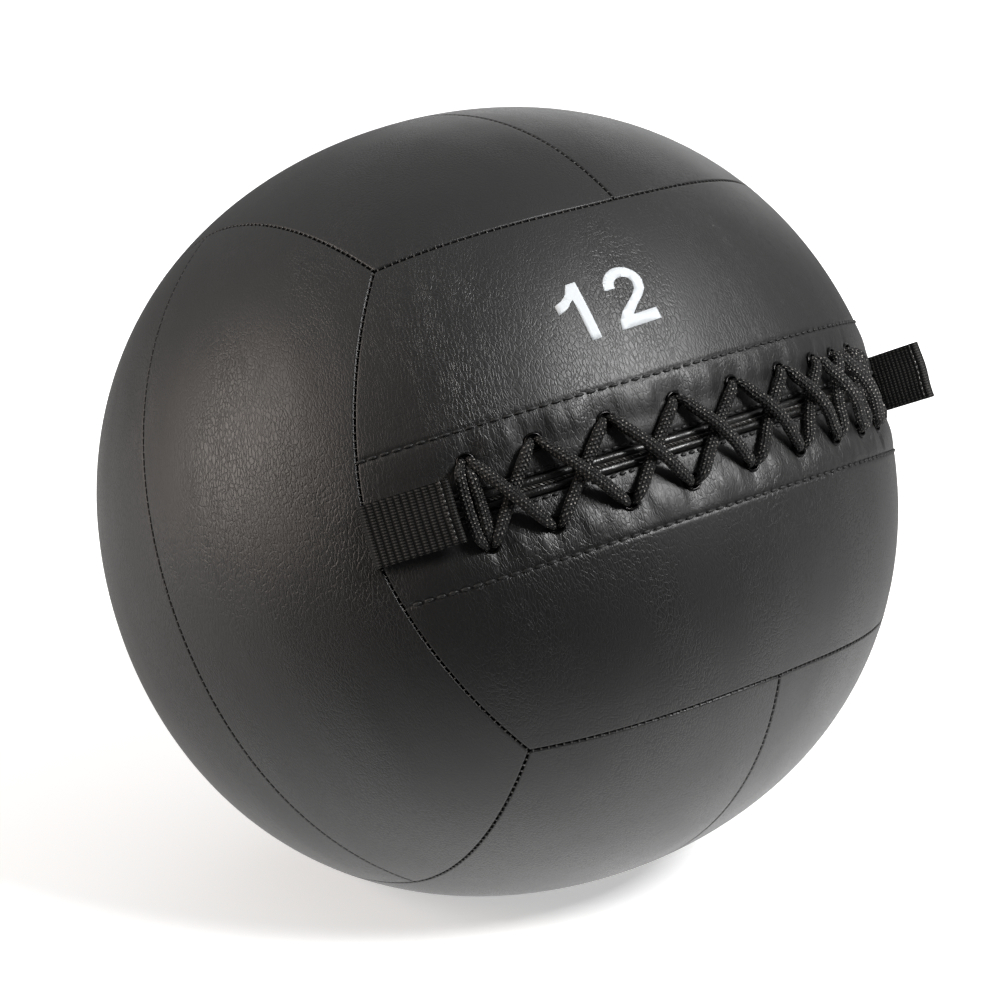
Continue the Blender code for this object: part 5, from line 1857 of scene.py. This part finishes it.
        top = self.core_radius + self.neck_length
        inside, neck = self.core_radius - self.sack_wall, self.neck_radius - self.sack_wall
        outer = np.concatenate(([(self.neck_radius, top)], side(self.core_radius, self.neck_radius, 49)))
        inner = np.concatenate((side(inside, neck, 49)[::-1], [(neck, top)]))
        outline = np.concatenate((outer, inner, outer[:1]))
        sack = self.round_body("sack", outline, pleats)
        self.shop.finish("core_sack", sack, SACKING.make(), "core_cloth", ("core_bag",))
        fill = side(inside - self.fill_gap, neck, 49)
        fill = np.concatenate(([(0.0, fill[0, 1])], fill))
        grit = self.round_body("grit", fill, lambda heights: 0 * heights)
        self.shop.finish("iron_sand_fill", grit, GRIT.make(), "iron_sand", ("iron_sand",))
        turns = np.linspace(0, 3 * tau, 181)
        rise = self.core_radius + self.neck_length / 2 + (turns / tau - 1.5) * self.tie_pitch
        reach = self.neck_radius + self.tie_radius
        path = np.stack((reach * np.cos(turns), reach * np.sin(turns), rise), axis=-1)
        tie = self.shop.tube("tie", path, np.full(len(path), self.twine), 8)
        self.shop.finish("neck_tie", tie, TWINE.make(), "tie_cord", ("core_tie",))

    def build(self) -> None:
        """Make everything inside the cover."""
        self.cloth = LINER_CLOTH.make()
        self.wadding = WADDING.make()
        self.tongue()
        self.liner()
        self.padding(-1, "left_padding")
        self.padding(1, "right_padding")
        self.core()


# Studio


@dataclass(frozen=True)
class Softbox:
    """One soft lamp, by where it stands seen from the ball."""

    name: str
    direction: tuple[float, float, float]
    distance: float
    width: float
    height: float
    power: float
    tint: str = "#ffffff"


@dataclass
class Studio:
    """Pale floor, soft lamps and the camera at the photograph's angle."""

    form: BallForm
    lamps: tuple[Softbox, ...] = (
        Softbox("key", (0.19, -0.75, 0.65), 2.2, 0.6, 0.6, 61.0),
        Softbox("left_fill", (-0.86, 0.44, 0.23), 2.4, 1.2, 1.45, 42.0, "#fff3ea"),
        Softbox("right_fill", (0.99, -0.12, 0.16), 2.4, 1.0, 1.2, 0.6),
        Softbox("back_rim", (0.72, 0.62, 0.3), 2.4, 1.4, 0.9, 7.5),
    )
    azimuth: float = radians(-39.295)
    elevation: float = radians(14.036)
    distance: float = 1.206
    lens: float = 97.82
    sensor: float = 36.0
    shift: tuple[float, float] = (0.0036, 0.0017)
    horizon_strength: float = 0.21
    sky_strength: float = 0.62
    sky_level: float = 0.7
    dark_side: float = 0.05
    room_turn: tuple[float, float] = (0.1, 0.7)
    floor_reach: float = 12.0
    near_glow: float = 0.45
    far_glow: float = 0.95
    glow_rise: tuple[float, float] = (0.4, 1.5)
    painted_dark_level: float = 0.1
    painted_dark_span: tuple[float, float] = (0.15, 0.37)
    mirrored_paper: float = 0.5
    mirror_glow: float = 1.5
    far_mirror_glow: float = 0.35
    sheen_at: tuple[float, float, float] = (0.078, -0.141, 0.0)
    sheen_fade: tuple[float, float] = (0.12, 0.42)
    accent_from: tuple[float, float, float] = (-0.7, -0.62, 0.2)
    accent_at: tuple[float, float, float] = (0.141, -0.11, 0.056)
    accent_distance: float = 1.5
    accent_cone: float = radians(1.9)
    accent_power: float = 260.0
    accent_blend: float = 0.7
    accent_size: float = 0.02

    def toward_camera(self) -> tuple[float, float, float]:
        """Level direction from the ball to the camera."""
        return sin(self.azimuth), -cos(self.azimuth), 0.0

    def floor(self) -> None:
        """White paper floor that keeps the ball's shadow."""
        bm = bmesh.new()
        bmesh.ops.create_grid(bm, x_segments=2, y_segments=2, size=self.floor_reach)
        mesh = mesh_of(bm, "paper_floor")
        put("paper_floor", mesh)
        material, tree, shader = new_material("white_paper_floor")
        mesh.materials.append(material)
        place = add_node(tree, "TexCoord", output="Object")
        toward = {0: place, 1: self.toward_camera()}
        toward = add_node(tree, "VectorMath", toward, "Value", operation="DOT_PRODUCT")
        # in front of the ball the paper is painted dark for reflections and bounce light, though white to the
        # camera: a painted dark reflection
        paper = {"Value": toward, "From Min": self.painted_dark_span[0], "From Max": self.painted_dark_span[1]}
        paper = add_node(tree, "MapRange", paper | {"To Min": 1.0, "To Max": self.painted_dark_level})
        away = add_node(tree, "VectorMath", {0: place}, "Value", operation="LENGTH")
        far = {"Value": away, "From Min": self.glow_rise[0], "From Max": self.glow_rise[1]}
        far = add_node(tree, "MapRange", far | {"To Min": self.near_glow, "To Max": self.far_glow})
        path = add_node(tree, "LightPath").node.outputs
        camera = path["Is Camera Ray"]
        mirrored = {0: path["Is Glossy Ray"], 1: path["Is Transmission Ray"]}
        mirrored = add_node(tree, "Math", mirrored, operation="MAXIMUM")
        # for reflections only, the paper glows most beside the ball's lit side: a painted reflection that
        # gives most of the sheen under the ball
        aside = add_node(tree, "VectorMath", {0: place, 1: self.sheen_at}, "Value", operation="DISTANCE")
        mirror = {"Value": aside, "From Min": self.sheen_fade[0], "From Max": self.sheen_fade[1]}
        mirror |= {"To Min": self.mirror_glow, "To Max": self.far_mirror_glow}
        mirror = add_node(tree, "MapRange", mirror)
        dimmed = add_node(tree, "Math", {0: paper, 1: mirror}, operation="MULTIPLY")
        dimmed = add_node(tree, "Math", {0: dimmed, 1: mirrored}, operation="MULTIPLY")
        strength = add_node(tree, "MapRange", {"Value": camera, "To Min": dimmed, "To Max": far})
        # the paper's colour is halved for reflections, a painted darkening of its reflection in the vinyl
        seen = add_node(tree, "MapRange", {"Value": mirrored, "To Min": 1.0, "To Max": self.mirrored_paper})
        white = add_node(tree, "Math", {0: paper, 1: seen}, operation="MULTIPLY")
        white = add_node(tree, "Math", {0: white, 1: camera}, operation="MAXIMUM")
        colours = {0: white, 6: (0, 0, 0, 1), 7: linear("#f4f4f4")}
        look = {"Base Color": add_node(tree, "Mix", colours, 2, data_type="RGBA")}
        fill_inputs(tree, shader, look | {"Roughness": 0.95, "Specular IOR Level": 0.0})
        glow = add_node(tree, "Emission", {"Color": (1, 1, 1, 1), "Strength": strength})
        both = add_node(tree, "AddShader", {0: shader.outputs[0], 1: glow})
        fill_inputs(tree, tree.nodes["Material Output"], {"Surface": both})

    def world(self) -> None:
        """White surroundings: full strength to the eye, dimmer as light, and dark behind the camera."""
        world = bpy.data.worlds.new("white_studio")
        world.use_nodes = True
        tree = world.node_tree
        direction = add_node(tree, "TexCoord", output="Generated")
        toward = {0: direction, 1: self.toward_camera()}
        toward = add_node(tree, "VectorMath", toward, "Value", operation="DOT_PRODUCT")
        sky = {"Value": add_node(tree, "SeparateXYZ", {0: direction}, "Z"), "From Max": self.sky_level}
        sky = add_node(tree, "MapRange", sky | {"To Min": self.horizon_strength, "To Max": self.sky_strength})
        side = {"Value": toward, "From Min": self.room_turn[0], "From Max": self.room_turn[1]}
        side = add_node(tree, "MapRange", side | {"To Min": sky, "To Max": self.dark_side})
        camera = add_node(tree, "LightPath", output="Is Camera Ray")
        strength = add_node(tree, "MapRange", {"Value": camera, "To Min": side, "To Max": 1.0})
        fill_inputs(tree, tree.nodes["Background"], {"Strength": strength, "Color": (1, 1, 1, 1)})
        bpy.context.scene.world = world

    def aim(self, name: str, data: bpy.types.ID, way: Sequence[float], distance: float, at: Vector) -> None:
        """Stand a lamp or the camera off a point, facing it."""
        direction = Vector(way).normalized()
        holder = put(name, data)
        holder.location = at + direction * distance
        holder.rotation_euler = direction.to_track_quat("Z", "Y").to_euler()
        if holder.type == "CAMERA":
            bpy.context.scene.camera = holder

    def light(self) -> None:
        """Set up the soft lamps that face the ball, and the small one on the right tab."""
        centre = Vector((0, 0, self.form.centre_height()))
        for lamp in self.lamps:
            data = bpy.data.lights.new(lamp.name, "AREA")
            data.shape = "RECTANGLE"
            data.size, data.size_y = lamp.width, lamp.height
            data.energy = lamp.power
            data.color = linear(lamp.tint)[:3]
            self.aim(lamp.name, data, lamp.direction, lamp.distance, centre)
        data = bpy.data.lights.new("tab_accent", "SPOT")
        data.energy = self.accent_power
        data.spot_size = self.accent_cone
        data.spot_blend = self.accent_blend
        data.shadow_soft_size = self.accent_size
        self.aim("tab_accent", data, self.accent_from, self.accent_distance, centre + Vector(self.accent_at))

    def camera(self) -> None:
        """Camera level with the photograph's: a long lens a little above the ball's middle."""
        data = bpy.data.cameras.new("camera")
        data.lens = self.lens
        data.sensor_width = self.sensor
        data.shift_x, data.shift_y = self.shift
        level = cos(self.elevation)
        back = (sin(self.azimuth) * level, -cos(self.azimuth) * level, sin(self.elevation))
        self.aim("camera", data, back, self.distance, Vector((0, 0, self.form.centre_height())))

    def build(self) -> None:
        """Set the scene."""
        bpy.context.scene.view_settings.view_transform = "Standard"
        self.floor()
        self.world()
        self.light()
        self.camera()


def main() -> None:
    """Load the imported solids, dress them and light them."""
    logging.basicConfig(level=logging.INFO, format="%(name)s %(message)s")
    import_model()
    form = BallForm()
    net = SeamNet(form)
    work = Lacework(form)
    shop = Workshop(form)
    Studio(form).build()
    Cover(shop, form, net, work).build()
    Closure(shop, form, work).build()
    Lacing(shop, form, work).build()
    Filling(shop, form, net, work).build()
    webbing = RibbedNylon("woven_nylon_webbing").make()
    thread = SEAM_THREAD.make()
    for name, body, side, lean in (
        ("left_webbing_tab", "left_tab", -1, pi / 2),
        ("right_webbing_tab", "right_tab", 1, radians(64)),
    ):
        tab = WebbingTab(shop, form, net, name, body, side, lean)
        tab.build(webbing)
        tab.stitching(thread)
    LOG.info("%d pieces", len(shop.made))


if __name__ == "__main__":
    main()
